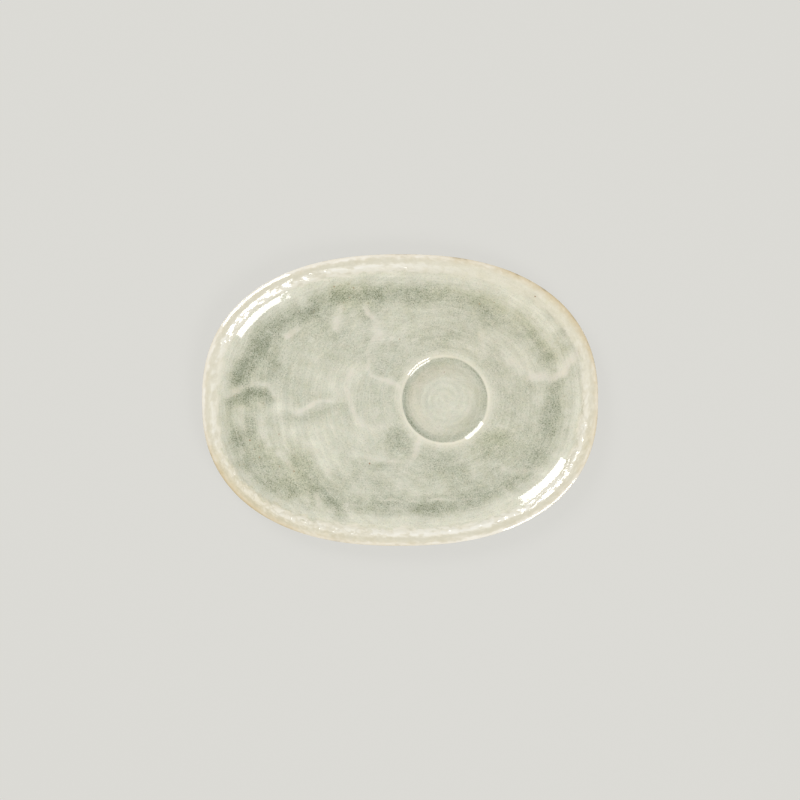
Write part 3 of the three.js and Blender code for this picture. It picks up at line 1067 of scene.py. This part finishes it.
def add_ramp(tree, value, stops):
    """Colour output of a ramp that runs from 0 to its last stop, with a colour at each of its stops."""
    span = stops[-1][0]
    made = add_node(tree, "ShaderNodeValToRGB", {0: add_math(tree, "DIVIDE", value, span)})
    while len(made.color_ramp.elements) < len(stops):
        made.color_ramp.elements.new(1.0)
    for element, (position, tone) in zip(made.color_ramp.elements, stops):
        element.position = position / span
        element.color = opaque(tone)
    return made.outputs[0]


def add_noise(tree, vector, scale, detail=2.0, roughness=0.5):
    """Output of a Noise node, moved so that it is spread about 0."""
    inputs = {"Vector": vector, "Scale": scale, "Detail": detail, "Roughness": roughness}
    return add_math(tree, "SUBTRACT", add_node(tree, "ShaderNodeTexNoise", inputs).outputs[0], 0.5)


def add_voronoi(tree, vector, scale):
    """Distance from the middle of the nearest Voronoi cell, and that cell's random number from 0 to 1."""
    cells = add_node(tree, "ShaderNodeTexVoronoi", {"Vector": vector, "Scale": scale}).outputs
    return cells["Distance"], add_node(tree, "ShaderNodeSeparateColor", {0: cells["Color"]}).outputs[0]


def add_dots(tree, vector, scale):
    """Dark dots of crackle, one in each cell and each as dark as its cell's number, spread about 0."""
    distance, number = add_voronoi(tree, vector, scale)
    dot = add_product(tree, add_range(tree, distance, 0.2, 0.62, 1.0, 0.0), number)
    return add_math(tree, "SUBTRACT", dot, 0.16)


def add_specks(tree, vector, scale, rarity, small, large):
    """1 in the middle of the few cells whose number passes the rarity, falling to 0 between two sizes."""
    distance, number = add_voronoi(tree, vector, scale)
    spot = add_range(tree, distance, small, large, 1.0, 0.0)
    return add_product(tree, spot, add_math(tree, "GREATER_THAN", number, rarity))


def add_attribute(tree, name, output):
    """One output of a node that reads one of the mesh's attributes."""
    return add_node(tree, "ShaderNodeAttribute", {}, attribute_name=name).outputs[output]


def add_coords(tree):
    """Place of each point in its object's own frame."""
    return add_node(tree, "ShaderNodeTexCoord", {}).outputs["Object"]


def new_material(name):
    """A node material with only a Principled shader and an output, its tree and its shader."""
    material = bpy.data.materials.new(name)
    material.use_nodes = True
    return material, material.node_tree, material.node_tree.nodes["Principled BSDF"]


def connect(tree, shader, tone, roughness):
    """Gives a shader its colour and its roughness."""
    tree.links.new(tone, shader.inputs["Base Color"])
    tree.links.new(roughness, shader.inputs["Roughness"])


def add_bump(tree, shader, strength, distance, height):
    """Ripples a shader's surface by a height that is counted in distances."""
    inputs = {"Strength": strength, "Distance": distance, "Height": height}
    bump = add_node(tree, "ShaderNodeBump", inputs).outputs[0]
    tree.links.new(bump, shader.inputs["Normal"])


def polar(tree, coords, middle):
    """Distance from a middle, seen from above, and the direction from it."""
    flat = add_vector(tree, "MULTIPLY", coords, (1.0, 1.0, 0.0))
    from_middle = add_vector(tree, "SUBTRACT", flat, middle)
    radius = add_node(tree, "ShaderNodeVectorMath", {0: from_middle}, operation="LENGTH").outputs["Value"]
    heading = add_node(tree, "ShaderNodeVectorMath", {0: from_middle}, operation="NORMALIZE").outputs[0]
    return radius, add_node(tree, "ShaderNodeSeparateXYZ", {0: heading}).outputs


def throwing_lines(tree, radius, parts, turns, scale):
    """Noise stretched round a middle, like the lines that fingers leave on the wheel: its place is the
    distance from the middle and the direction from it, so each line runs part of the way round."""
    inputs = {
        0: add_product(tree, parts[0], turns),
        1: add_product(tree, parts[1], turns),
        2: add_product(tree, radius, scale),
    }
    place = add_node(tree, "ShaderNodeCombineXYZ", inputs).outputs[0]
    return add_noise(tree, place, 1.0, 3.0, 0.6)


def spiral(tree, radius, parts, wander):
    """A wave that winds out from a middle, one turn for each spacing, and fades beyond the well's floor.
    Wander moves it in and out."""
    turn = add_math(tree, "ARCTAN2", parts[1], parts[0])
    phase = add_sum(tree, (radius, 2 * math.pi / SPIRAL_SPACING), (turn, -1.0), (wander, 4.0))
    fade = add_range(tree, radius, 0.012, 0.020, 1.0, 0.0)
    return add_product(tree, add_math(tree, "SINE", phase, 0.0), fade)


def glaze_sockets(tree, sizes):
    """What the upper glaze's colours are worked out from: its attributes, the place of each point and the
    noises. Wavy is the place across the rim after noise has pushed it about, near roll is 1 on the roll,
    worn is where the rim shows its clay, and cells is the distance from the crevices between its lumps."""
    glaze = SimpleNamespace(**{name: add_attribute(tree, name, "Fac") for name in UPPER_ATTRIBUTES})
    glaze.coords = add_coords(tree)
    glaze.radius, glaze.direction = polar(tree, glaze.coords, (sizes.well_offset, 0.0, 0.0))
    belt = add_attribute(tree, "belt", "Vector")
    for name, values in GLAZE_NOISES.items():
        setattr(glaze, name, add_noise(tree, glaze.coords, *values))
    for name, (stretch, *values) in BELT_NOISES.items():
        setattr(glaze, name, add_noise(tree, add_vector(tree, "MULTIPLY", belt, stretch), 1.0, *values))
    glaze.wavy = add_sum(tree, (glaze.place, 1.0), (glaze.streaks, 2.6), (glaze.blobs, 2.2))
    glaze.near_roll = add_product(tree, add_between(tree, glaze.wavy, 3.9, 4.9, 7.6, 9.4), glaze.crisp)
    clay = add_product(tree, glaze.tan, glaze.tan)
    worn = add_sum(tree, (clay, 0.55), (glaze.hue, 1.0), (glaze.mottle, 0.6))
    worn = add_range(tree, worn, -0.25, 1.0, 0.0, 1.0)
    glaze.worn = add_product(tree, worn, add_range(tree, glaze.inset, 1.5, 5.0, 1.0, 0.5))
    inputs = {0: glaze.blobs, 1: glaze.streaks, 2: glaze.blobs}
    push = add_node(tree, "ShaderNodeCombineXYZ", inputs).outputs[0]
    push = add_vector(tree, "MULTIPLY", push, LUMP_PUSH)
    lumps = add_vector(tree, "ADD", add_vector(tree, "MULTIPLY", belt, LUMP_STRETCH), push)
    inputs = {"Vector": lumps, "Scale": 1.0}
    glaze.cells = add_node(tree, "ShaderNodeTexVoronoi", inputs, feature="DISTANCE_TO_EDGE").outputs[0]
    return glaze


def lip_share(tree, glaze):
    """How strongly the cream glaze of the well's lip shows, in a ragged ring that is patchy along it."""
    first = LIP_RADII[0]
    stops = [(at - first, (share, share, share)) for at, share in zip(LIP_RADII, LIP_STRENGTHS)]
    out = add_sum(tree, (glaze.radius, 1 / MM), (glaze.mottle, LIP_RAGGEDNESS))
    ring = add_ramp(tree, add_math(tree, "SUBTRACT", out, first), stops)
    patchy = add_range(tree, add_noise(tree, glaze.coords, 45.0), -0.2, 0.2, 0.65, 1.05)
    return add_product(tree, ring, patchy)


def floor_tone(tree, glaze, colours):
    """Colour of the floor and the well: depth, with crackle, grain and throwing lines added, goes through a
    ramp from cream to the deepest green. Veins, bluish arcs, the well's lip, tints and pepper are mixed over
    it."""
    dots = add_dots(tree, glaze.coords, CRACKLE_SCALE)
    crazing = add_sum(tree, (dots, 0.42), (glaze.grain, 1.35), (glaze.mottle, 0.40))
    in_pools = add_range(tree, glaze.depth, 0.30, 0.90, 0.38, 1.30)
    crazed = add_product(tree, crazing, in_pools, add_range(tree, glaze.radius, 0.0215, 0.0245, 0.6, 1.0))
    lines = throwing_lines(tree, glaze.radius, glaze.direction, 1.0, 320.0)
    scratch = add_math(tree, "ABSOLUTE", throwing_lines(tree, glaze.radius, glaze.direction, 2.0, 520.0), 0.0)
    scratch = add_range(tree, scratch, 0.0, 0.035, 1.0, 0.0)
    inwards = add_node(tree, "ShaderNodeCombineXYZ", {2: glaze.inset}).outputs[0]
    hoops = add_vector(tree, "ADD", add_vector(tree, "MULTIPLY", glaze.coords, (40.0, 40.0, 0.0)), inwards)
    hoops = add_noise(tree, hoops, 0.9, 3.0, 0.6)
    winding = spiral(tree, glaze.radius, glaze.direction, lines)
    swirl = add_sum(tree, (lines, 0.37), (hoops, 0.34), (scratch, -0.07), (winding, 0.032))
    stops = (
        (0.0, colours.cream),
        (0.3, colours.pale),
        (0.55, colours.celadon),
        (1.0, colours.pool),
        (DEEPEST, colours.deep),
    )
    tone = add_ramp(tree, add_sum(tree, (glaze.depth, 1.0), (crazed, 1.0), (swirl, 1.0), (dots, 0.04)), stops)
    ragged = add_sum(tree, (glaze.vein, 1.0), (glaze.mottle, 0.6))
    tone = add_mix(tree, add_range(tree, ragged, 0.1, 1.0, 0.0, 0.6), tone, colours.vein)
    arcs = add_product(tree, glaze.cool, add_range(tree, lines, 0.0, 0.22, 0.0, 0.5))
    tone = add_mix(tree, arcs, tone, colours.arc)
    tone = add_mix(tree, lip_share(tree, glaze), tone, colours.lip)
    olive = add_product(tree, glaze.warm, add_range(tree, glaze.depth, 0.25, 0.60, 0.35, 1.0))
    yellow = add_sum(tree, (olive, 1.0), (glaze.mottle, 0.8), (glaze.stain, 1.6))
    tone = add_tint(tree, add_range(tree, yellow, -0.3, 1.0, 0.0, 1.0), tone, colours.warm_tint)
    tone = add_tint(tree, add_range(tree, glaze.hue, -0.25, 0.25, 0.0, 1.0), tone, colours.green_tint)
    tone = add_tint(tree, glaze.pink, tone, colours.pink_tint)
    pepper = add_specks(tree, glaze.coords, *PEPPER)
    pepper = add_product(tree, pepper, add_range(tree, yellow, 0.15, 0.8, 0.06, 0.65))
    return add_mix(tree, pepper, tone, colours.speck)


def rim_tone(tree, glaze, colours):
    """Colour of the rim: bands across it, crisp or smooth, with light patches on its crown, clay and burnt
    spots along its edge, and a tint where it is worn. The band on the edge is partly painted light, paler
    than the glaze to make up for the shade on the steep edge, and the darker band between the crown and the
    roll is partly painted shade."""
    # The edge band is partly painted light: paler than the glaze, to make up for the shade on the steep edge.
    edge = ((0.0, colours.edge), (0.9, colours.edge))
    smooth_bands = (*edge, (2.2, colours.rim), (RIM_BAND, colours.roll))
    # The darker band between the crown and the roll, from 2.7 to 3.6 millimetres in, is partly painted shade.
    crisp_bands = (
        *edge,
        (1.9, colours.rim),
        (2.7, colours.groove_shade),
        (3.6, colours.groove_shade),
        (4.8, colours.roll),
        (RIM_BAND, colours.roll),
    )
    smooth = add_ramp(tree, glaze.wavy, smooth_bands)
    rim = add_mix(tree, glaze.crisp, smooth, add_ramp(tree, glaze.wavy, crisp_bands))
    on_crown = add_range(tree, glaze.inset, 1.4, 2.6, 0.0, 1.0)
    on_clay = add_range(tree, glaze.tan, 0.2, 0.7, 0.3, 1.0)
    light = add_product(tree, on_crown, on_clay, add_range(tree, glaze.patches, -0.10, 0.20, 0.0, 0.8))
    rim = add_mix(tree, light, rim, colours.roll)
    bare = add_range(tree, add_sum(tree, (glaze.inset, 1.0), (glaze.mottle, 2.0)), 0.0, 2.8, 1.0, 0.0)
    rim = add_mix(tree, add_product(tree, bare, glaze.tan), rim, colours.tan)
    at_edge = add_range(tree, glaze.inset, 0.2, 1.2, 1.0, 0.0)
    burnt = add_product(tree, at_edge, glaze.tan, add_range(tree, glaze.streaks, 0.05, 0.20, 0.0, 0.7))
    rim = add_mix(tree, burnt, rim, colours.burnt)
    return add_tint(tree, glaze.worn, rim, colours.worn_tint)


def rolled_tone(tree, glaze, colours, tone):
    """The floor's colour with the rim's over it, ending at the roll's ragged inner edge or fading out where
    the roll is soft. Just inside the roll the glaze is darkened as a painted shadow. The roll's bright
    streaks and crest are partly thin cream glaze and partly painted glints of light on its lumps, and its
    darker valleys and crevices are partly thicker glaze and partly painted shade."""
    rolled = add_product(tree, glaze.blobs, glaze.crisp)
    ragged = add_sum(tree, (glaze.roll, 1.0), (glaze.streaks, 5.0), (rolled, 5.0))
    # Painted shadow: the glaze just inside the roll's ragged inner edge is darkened, where the roll is crisp
    # and clay shows.
    below = add_product(tree, add_range(tree, ragged, -2.2, -0.4, 0.0, 1.0), glaze.crisp, glaze.tan)
    tone = add_tint(tree, below, tone, colours.shade)
    softness = add_range(tree, glaze.crisp, 0.1, 0.9, 0.6, 0.0)
    soft = add_product(tree, add_range(tree, glaze.inset, 2.8, 5.0, 0.0, 1.0), softness)
    on_rim = add_range(tree, ragged, -0.9, 0.7, 0.0, 0.92)
    on_rim = add_product(tree, on_rim, add_math(tree, "SUBTRACT", 1.0, soft))
    tone = add_mix(tree, on_rim, tone, rim_tone(tree, glaze, colours))
    streak_glint = add_tint(tree, glaze.worn, colours.streak_glint, colours.worn_tint)
    groove_shade = add_tint(tree, glaze.worn, colours.groove_shade, colours.worn_tint)
    # Painted highlights, partly thin glaze: where the roll's lumps and streaks are highest they take the
    # bright colour, as glints of light on them.
    bright = add_sum(tree, (glaze.lump, 0.25), (glaze.blobs, 0.9), (glaze.streaks, 0.9))
    lit = add_product(tree, glaze.near_roll, add_range(tree, bright, -0.08, 0.13, 0.0, 0.9))
    tone = add_mix(tree, lit, tone, streak_glint)
    # Painted highlight, partly thin glaze: a bright line along the crest of the roll.
    crest = add_product(tree, add_between(tree, glaze.wavy, 4.5, 5.3, 5.7, 6.7), glaze.crisp)
    crest = add_product(tree, crest, add_range(tree, bright, -0.15, 0.12, 0.1, 0.8))
    crest = add_product(tree, crest, add_range(tree, glaze.tan, 0.1, 0.6, 1.0, 0.1))
    tone = add_mix(tree, crest, tone, colours.crest)
    # Painted shade, partly thicker glaze: the roll's low places and the crevices between its lumps are
    # darkened.
    valley_shade = add_product(tree, glaze.near_roll, add_range(tree, bright, -0.25, -0.08, 0.6, 0.0))
    tone = add_mix(tree, valley_shade, tone, groove_shade)
    crevice_shade = add_product(tree, add_range(tree, glaze.cells, 0.0, 0.14, 1.0, 0.0), glaze.near_roll)
    crevice_shade = add_product(tree, crevice_shade, add_range(tree, glaze.tan, 0.1, 0.6, 0.0, 0.55))
    return add_mix(tree, crevice_shade, tone, groove_shade)


def upper_glaze_material(sizes, colours):
    """Crackled celadon: the floor's colour with the rim, its roll and iron specks over it, glossy on the wall
    and satin on the floor, with the roll's lumps and fine ripples as bump."""
    material, tree, shader = new_material("crackled_celadon")
    glaze = glaze_sockets(tree, sizes)
    tone = rolled_tone(tree, glaze, colours, floor_tone(tree, glaze, colours))
    tone = add_mix(tree, add_specks(tree, glaze.coords, *UPPER_SPECKS), tone, colours.speck)
    finish = add_range(tree, glaze.gloss, 0.0, 1.0, SATIN_ROUGHNESS, GLOSSY_ROUGHNESS)
    connect(tree, shader, tone, add_sum(tree, (finish, 1.0), (glaze.mottle, 0.02)))
    shader.inputs["IOR"].default_value = UPPER_IOR
    mounds = add_range(tree, glaze.cells, 0.0, 0.3, 0.0, 1.0)
    mounds = add_product(tree, mounds, add_range(tree, glaze.tan, 0.1, 0.6, 0.0, 0.7))
    rolling = add_sum(tree, (glaze.streaks, 0.8), (glaze.blobs, 0.6), (mounds, 1.0))
    rolling = add_product(tree, rolling, glaze.near_roll)
    ripple = add_sum(tree, (rolling, 1.0), (glaze.mottle, 0.1), (glaze.grain, 0.01))
    add_bump(tree, shader, 0.6, RIPPLE_HEIGHT, ripple)
    return material


def plain_glaze_material(colours):
    """Cream glaze of the outside and the base: a soft cloud of cream and pale celadon, drawn out level by the
    wheel, with fine grain, iron specks, and clay that shows through close to the bare foot."""
    material, tree, shader = new_material("cream_glaze")
    coords = add_coords(tree)
    height = add_node(tree, "ShaderNodeSeparateXYZ", {0: coords}).outputs[2]
    patches = add_noise(tree, coords, 60.0, 4.0, 0.5)
    drawn = add_noise(tree, add_vector(tree, "MULTIPLY", coords, (25.0, 25.0, 900.0)), 1.0, 3.0, 0.6)
    grain = add_noise(tree, coords, 2200.0, 2.0, 0.6)
    cloudy = add_sum(tree, (patches, 1.0), (drawn, 0.6), (grain, 0.5))
    tone = add_mix(tree, add_range(tree, cloudy, -0.2, 0.3, 0.0, 1.0), colours.outside, colours.pale)
    thin = add_sum(tree, (height, -1.0 / MM), (patches, 4.0))
    tone = add_mix(tree, add_range(tree, thin, -4.0, -1.2, 0.0, 0.7), tone, colours.tan)
    tone = add_mix(tree, add_specks(tree, coords, *PLAIN_SPECKS), tone, colours.speck)
    uneven = add_product(tree, patches, 0.15)
    connect(tree, shader, tone, add_math(tree, "ADD", uneven, PLAIN_ROUGHNESS))
    shader.inputs["IOR"].default_value = PLAIN_IOR
    ripple = add_sum(tree, (drawn, 1.0), (patches, 0.6), (grain, 0.03))
    add_bump(tree, shader, 0.25, RIPPLE_HEIGHT, ripple)
    return material


def clay_material(colours):
    """Bare stoneware: sandy grain, broad patches where the kiln toasted it darker, and iron specks, rough
    and matte."""
    material, tree, shader = new_material("bare_stoneware")
    coords = add_coords(tree)
    sand = add_noise(tree, coords, 1500.0, 4.0, 0.7)
    toasted = add_noise(tree, coords, 90.0, 3.0, 0.55)
    tone = add_mix(tree, add_range(tree, sand, -0.15, 0.2, 0.0, 0.6), colours.clay, colours.tan)
    tone = add_mix(tree, add_range(tree, toasted, 0.0, 0.35, 0.0, 0.55), tone, colours.burnt)
    tone = add_mix(tree, add_specks(tree, coords, *CLAY_SPECKS), tone, colours.speck)
    connect(tree, shader, tone, add_range(tree, sand, -0.3, 0.3, 0.92, 0.74))
    add_bump(tree, shader, 0.5, SAND_HEIGHT, sand)
    return material


# Stage


def seen_rays(tree):
    """1 for rays that show a surface to the camera directly, in a reflection or through glass."""
    path = add_node(tree, "ShaderNodeLightPath", {}).outputs
    shown = add_math(tree, "MAXIMUM", path["Is Camera Ray"], path["Is Glossy Ray"])
    return add_math(tree, "MAXIMUM", shown, path["Is Transmission Ray"])


def make_floor(stage):
    """A wide flat square under the saucer, part of whose look is even, so that its shadow stays soft."""
    half = FLOOR_SPAN / 2
    corners = ((-half, -half, 0.0), (half, -half, 0.0), (half, half, 0.0), (-half, half, 0.0))
    mesh = bpy.data.meshes.new("floor")
    mesh.from_pydata(corners, [], [(0, 1, 2, 3)])
    material, tree, shader = new_material("pale_floor")
    shader.inputs["Base Color"].default_value = opaque(stage.floor)
    shader.inputs["Roughness"].default_value = 1.0
    shader.inputs["Specular IOR Level"].default_value = 0.0
    glow = add_node(tree, "ShaderNodeEmission", {"Color": opaque(stage.floor), "Strength": 1.0}).outputs[0]
    factor = add_math(tree, "MULTIPLY", seen_rays(tree), stage.floor_glow)
    mixed = add_node(tree, "ShaderNodeMixShader", {0: factor, 1: shader.outputs[0], 2: glow}).outputs[0]
    tree.links.new(mixed, tree.nodes["Material Output"].inputs["Surface"])
    mesh.materials.append(material)
    floor = bpy.data.objects.new("floor", mesh)
    bpy.context.scene.collection.objects.link(floor)


def make_sky(scene, stage):
    """Even white light from all round, which the camera sees in the floor's colour."""
    scene.world = bpy.data.worlds.new("studio")
    scene.world.use_nodes = True
    tree = scene.world.node_tree
    light = tree.nodes["Background"]
    light.inputs["Color"].default_value = (1.0, 1.0, 1.0, 1.0)
    light.inputs["Strength"].default_value = stage.sky
    shown = add_node(tree, "ShaderNodeBackground", {"Color": opaque(stage.floor), "Strength": 1.0}).outputs[0]
    inputs = {0: seen_rays(tree), 1: light.outputs[0], 2: shown}
    mixed = add_node(tree, "ShaderNodeMixShader", inputs).outputs[0]
    tree.links.new(mixed, tree.nodes["World Output"].inputs["Surface"])


def make_softbox(name, stage, azimuth):
    """An upright rectangular lamp that faces the saucer from one side."""
    height = stage.lamp_top - stage.lamp_bottom
    lamp = bpy.data.lights.new(name, "AREA")
    lamp.shape = "RECTANGLE"
    lamp.size = stage.lamp_width
    lamp.size_y = height
    lamp.energy = stage.lamp_glow * math.pi * stage.lamp_width * height
    outwards = Vector((math.cos(azimuth), math.sin(azimuth), 0.0))
    softbox = bpy.data.objects.new(name, lamp)
    softbox.location = outwards * stage.lamp_distance + Vector((0.0, 0.0, stage.lamp_bottom + height / 2))
    softbox.rotation_euler = (-outwards).to_track_quat("-Z", "Y").to_euler()
    softbox.visible_camera = False
    bpy.context.scene.collection.objects.link(softbox)


def make_camera(scene, stage):
    """A long lens straight above the saucer, framed at the height of its rim."""
    camera = bpy.data.cameras.new("camera")
    camera.sensor_width = SENSOR_WIDTH
    camera.lens = SENSOR_WIDTH * stage.camera_distance / stage.frame_width
    camera.clip_end = CAMERA_REACH
    holder = bpy.data.objects.new("camera", camera)
    holder.location = (0.0, 0.0, places(scene.saucer_sizes).edge[1] + stage.camera_distance)
    scene.collection.objects.link(holder)
    scene.camera = holder


# Operators


class SAUCER_OT_upper_glaze(bpy.types.Operator):
    """Makes the coat of celadon on the upper side, over the rim, the cove, the floor and the cup well"""

    bl_idname = "saucer.upper_glaze"
    bl_label = "Upper glaze"

    def execute(self, context):
        sizes, colours = context.scene.saucer_sizes, context.scene.saucer_colours
        surface = upper_surface(sizes, FACE_STEPS, 0.0, face_section(sizes, FACE_STEPS))
        attributes, relief = upper_pattern(sizes, surface)
        face = surface.points + surface.normals * relief[..., None]
        face[..., 2] = np.minimum(face[..., 2], places(sizes).rim_top)
        under = rim_section(sizes, BACK_STEPS)
        back = upper_surface(sizes, BACK_STEPS, sizes.bond - sizes.upper_coat, under).points
        well_floor = places(sizes).floor_top - sizes.well_depth
        poles = (
            (sizes.well_offset, 0.0, well_floor + sizes.bond - sizes.upper_coat),
            (sizes.well_offset, 0.0, face[-1, :, 2].mean()),
        )
        rows = np.concatenate((back[::-1], face))
        material = upper_glaze_material(sizes, colours)
        piece = make_piece("upper_glaze", rows, poles, material)
        for name, values in attributes.items():
            store(piece, name, values)
        return {"FINISHED"}


class SAUCER_OT_outside_glaze(bpy.types.Operator):
    """Makes the coat on the outside, from the bare foot up to the glaze line under the rim"""

    bl_idname = "saucer.outside_glaze"
    bl_label = "Outside glaze"

    def execute(self, context):
        sizes, colours = context.scene.saucer_sizes, context.scene.saucer_colours
        ring = oval(sizes, PLAIN_SECTORS)
        face, _ = carried(raised(outside_section(sizes, FACE_STEPS), sizes.under_coat), ring)
        back, _ = carried(raised(outside_section(sizes, BACK_STEPS), sizes.bond), ring)
        rows = np.concatenate((face, back[::-1]))
        make_piece("outside_glaze", rows, (), plain_glaze_material(colours))
        return {"FINISHED"}


class SAUCER_OT_base_glaze(bpy.types.Operator):
    """Makes the coat inside the foot ring"""

    bl_idname = "saucer.base_glaze"
    bl_label = "Base glaze"

    def execute(self, context):
        sizes, colours = context.scene.saucer_sizes, context.scene.saucer_colours
        ring = oval(sizes, PLAIN_SECTORS)
        face, _ = carried(raised(base_section(sizes), sizes.under_coat), ring)
        back, _ = carried(raised(base_section(sizes), sizes.bond), ring)
        poles = (
            (0.0, 0.0, sizes.foot_height - sizes.under_coat),
            (0.0, 0.0, sizes.foot_height - sizes.bond),
        )
        share = np.linspace(0.0, 1.0, BASE_STEPS + 1)[1:-1, None, None]
        floor = np.array(poles[0]) + share * (face[0] - np.array(poles[0]))
        rows = np.concatenate((floor, face, back[::-1]))
        make_piece("base_glaze", rows, poles, plain_glaze_material(colours))
        return {"FINISHED"}


class SAUCER_OT_clay_body(bpy.types.Operator):
    """Makes the stoneware shell under the glazes, with its bare foot ring"""

    bl_idname = "saucer.clay_body"
    bl_label = "Clay body"

    def execute(self, context):
        sizes, colours = context.scene.saucer_sizes, context.scene.saucer_colours
        ring = oval(sizes, FINE_SECTORS)
        under = np.vstack((base_section(sizes), foot_section(sizes), outside_section(sizes, BACK_STEPS)))
        over = rim_section(sizes, BACK_STEPS)
        upper = upper_surface(sizes, BACK_STEPS, -sizes.upper_coat, over).points
        well_floor = places(sizes).floor_top - sizes.well_depth
        poles = (
            (0.0, 0.0, sizes.foot_height),
            (sizes.well_offset, 0.0, well_floor - sizes.upper_coat),
        )
        rows = np.concatenate((carried(under, ring)[0], upper))
        make_piece("clay_body", rows, poles, clay_material(colours))
        return {"FINISHED"}


class SAUCER_OT_stage(bpy.types.Operator):
    """Makes the pale floor, the camera straight above and the two softboxes"""

    bl_idname = "saucer.stage"
    bl_label = "Stage"

    def execute(self, context):
        stage = context.scene.saucer_stage
        make_floor(stage)
        make_sky(context.scene, stage)
        make_softbox("softbox_back_left", stage, stage.back_azimuth)
        make_softbox("softbox_front_right", stage, stage.front_azimuth)
        make_camera(context.scene, stage)
        context.scene.view_settings.view_transform = "Standard"
        return {"FINISHED"}


# Panel and registration


class SAUCER_PT_panel(bpy.types.Panel):
    """Lists the saucer's operators, sizes and colours"""

    bl_idname = "SAUCER_PT_panel"
    bl_label = "Saucer"
    bl_space_type = "VIEW_3D"
    bl_region_type = "UI"
    bl_category = "Saucer"

    def draw(self, context):
        layout = self.layout
        for operator in OPERATORS:
            layout.operator(operator.bl_idname)
        for group in (context.scene.saucer_sizes, context.scene.saucer_colours, context.scene.saucer_stage):
            column = layout.column()
            for name in group.__annotations__:
                column.prop(group, name)


OPERATORS = (
    SAUCER_OT_clay_body,
    SAUCER_OT_upper_glaze,
    SAUCER_OT_outside_glaze,
    SAUCER_OT_base_glaze,
    SAUCER_OT_stage,
)
CLASSES = (SaucerSizes, SaucerColours, SaucerStage, *OPERATORS, SAUCER_PT_panel)


def register():
    """Registers the classes and hangs the property groups on the scene."""
    for kind in CLASSES:
        bpy.utils.register_class(kind)
    bpy.types.Scene.saucer_sizes = PointerProperty(type=SaucerSizes)
    bpy.types.Scene.saucer_colours = PointerProperty(type=SaucerColours)
    bpy.types.Scene.saucer_stage = PointerProperty(type=SaucerStage)


def unregister():
    """Takes the property groups and the classes away again."""
    del bpy.types.Scene.saucer_stage
    del bpy.types.Scene.saucer_colours
    del bpy.types.Scene.saucer_sizes
    for kind in reversed(CLASSES):
        bpy.utils.unregister_class(kind)


def main():
    """Makes every piece and the stage."""
    register()
    bpy.ops.saucer.clay_body()
    bpy.ops.saucer.upper_glaze()
    bpy.ops.saucer.outside_glaze()
    bpy.ops.saucer.base_glaze()
    bpy.ops.saucer.stage()


if __name__ == "__main__":
    main()
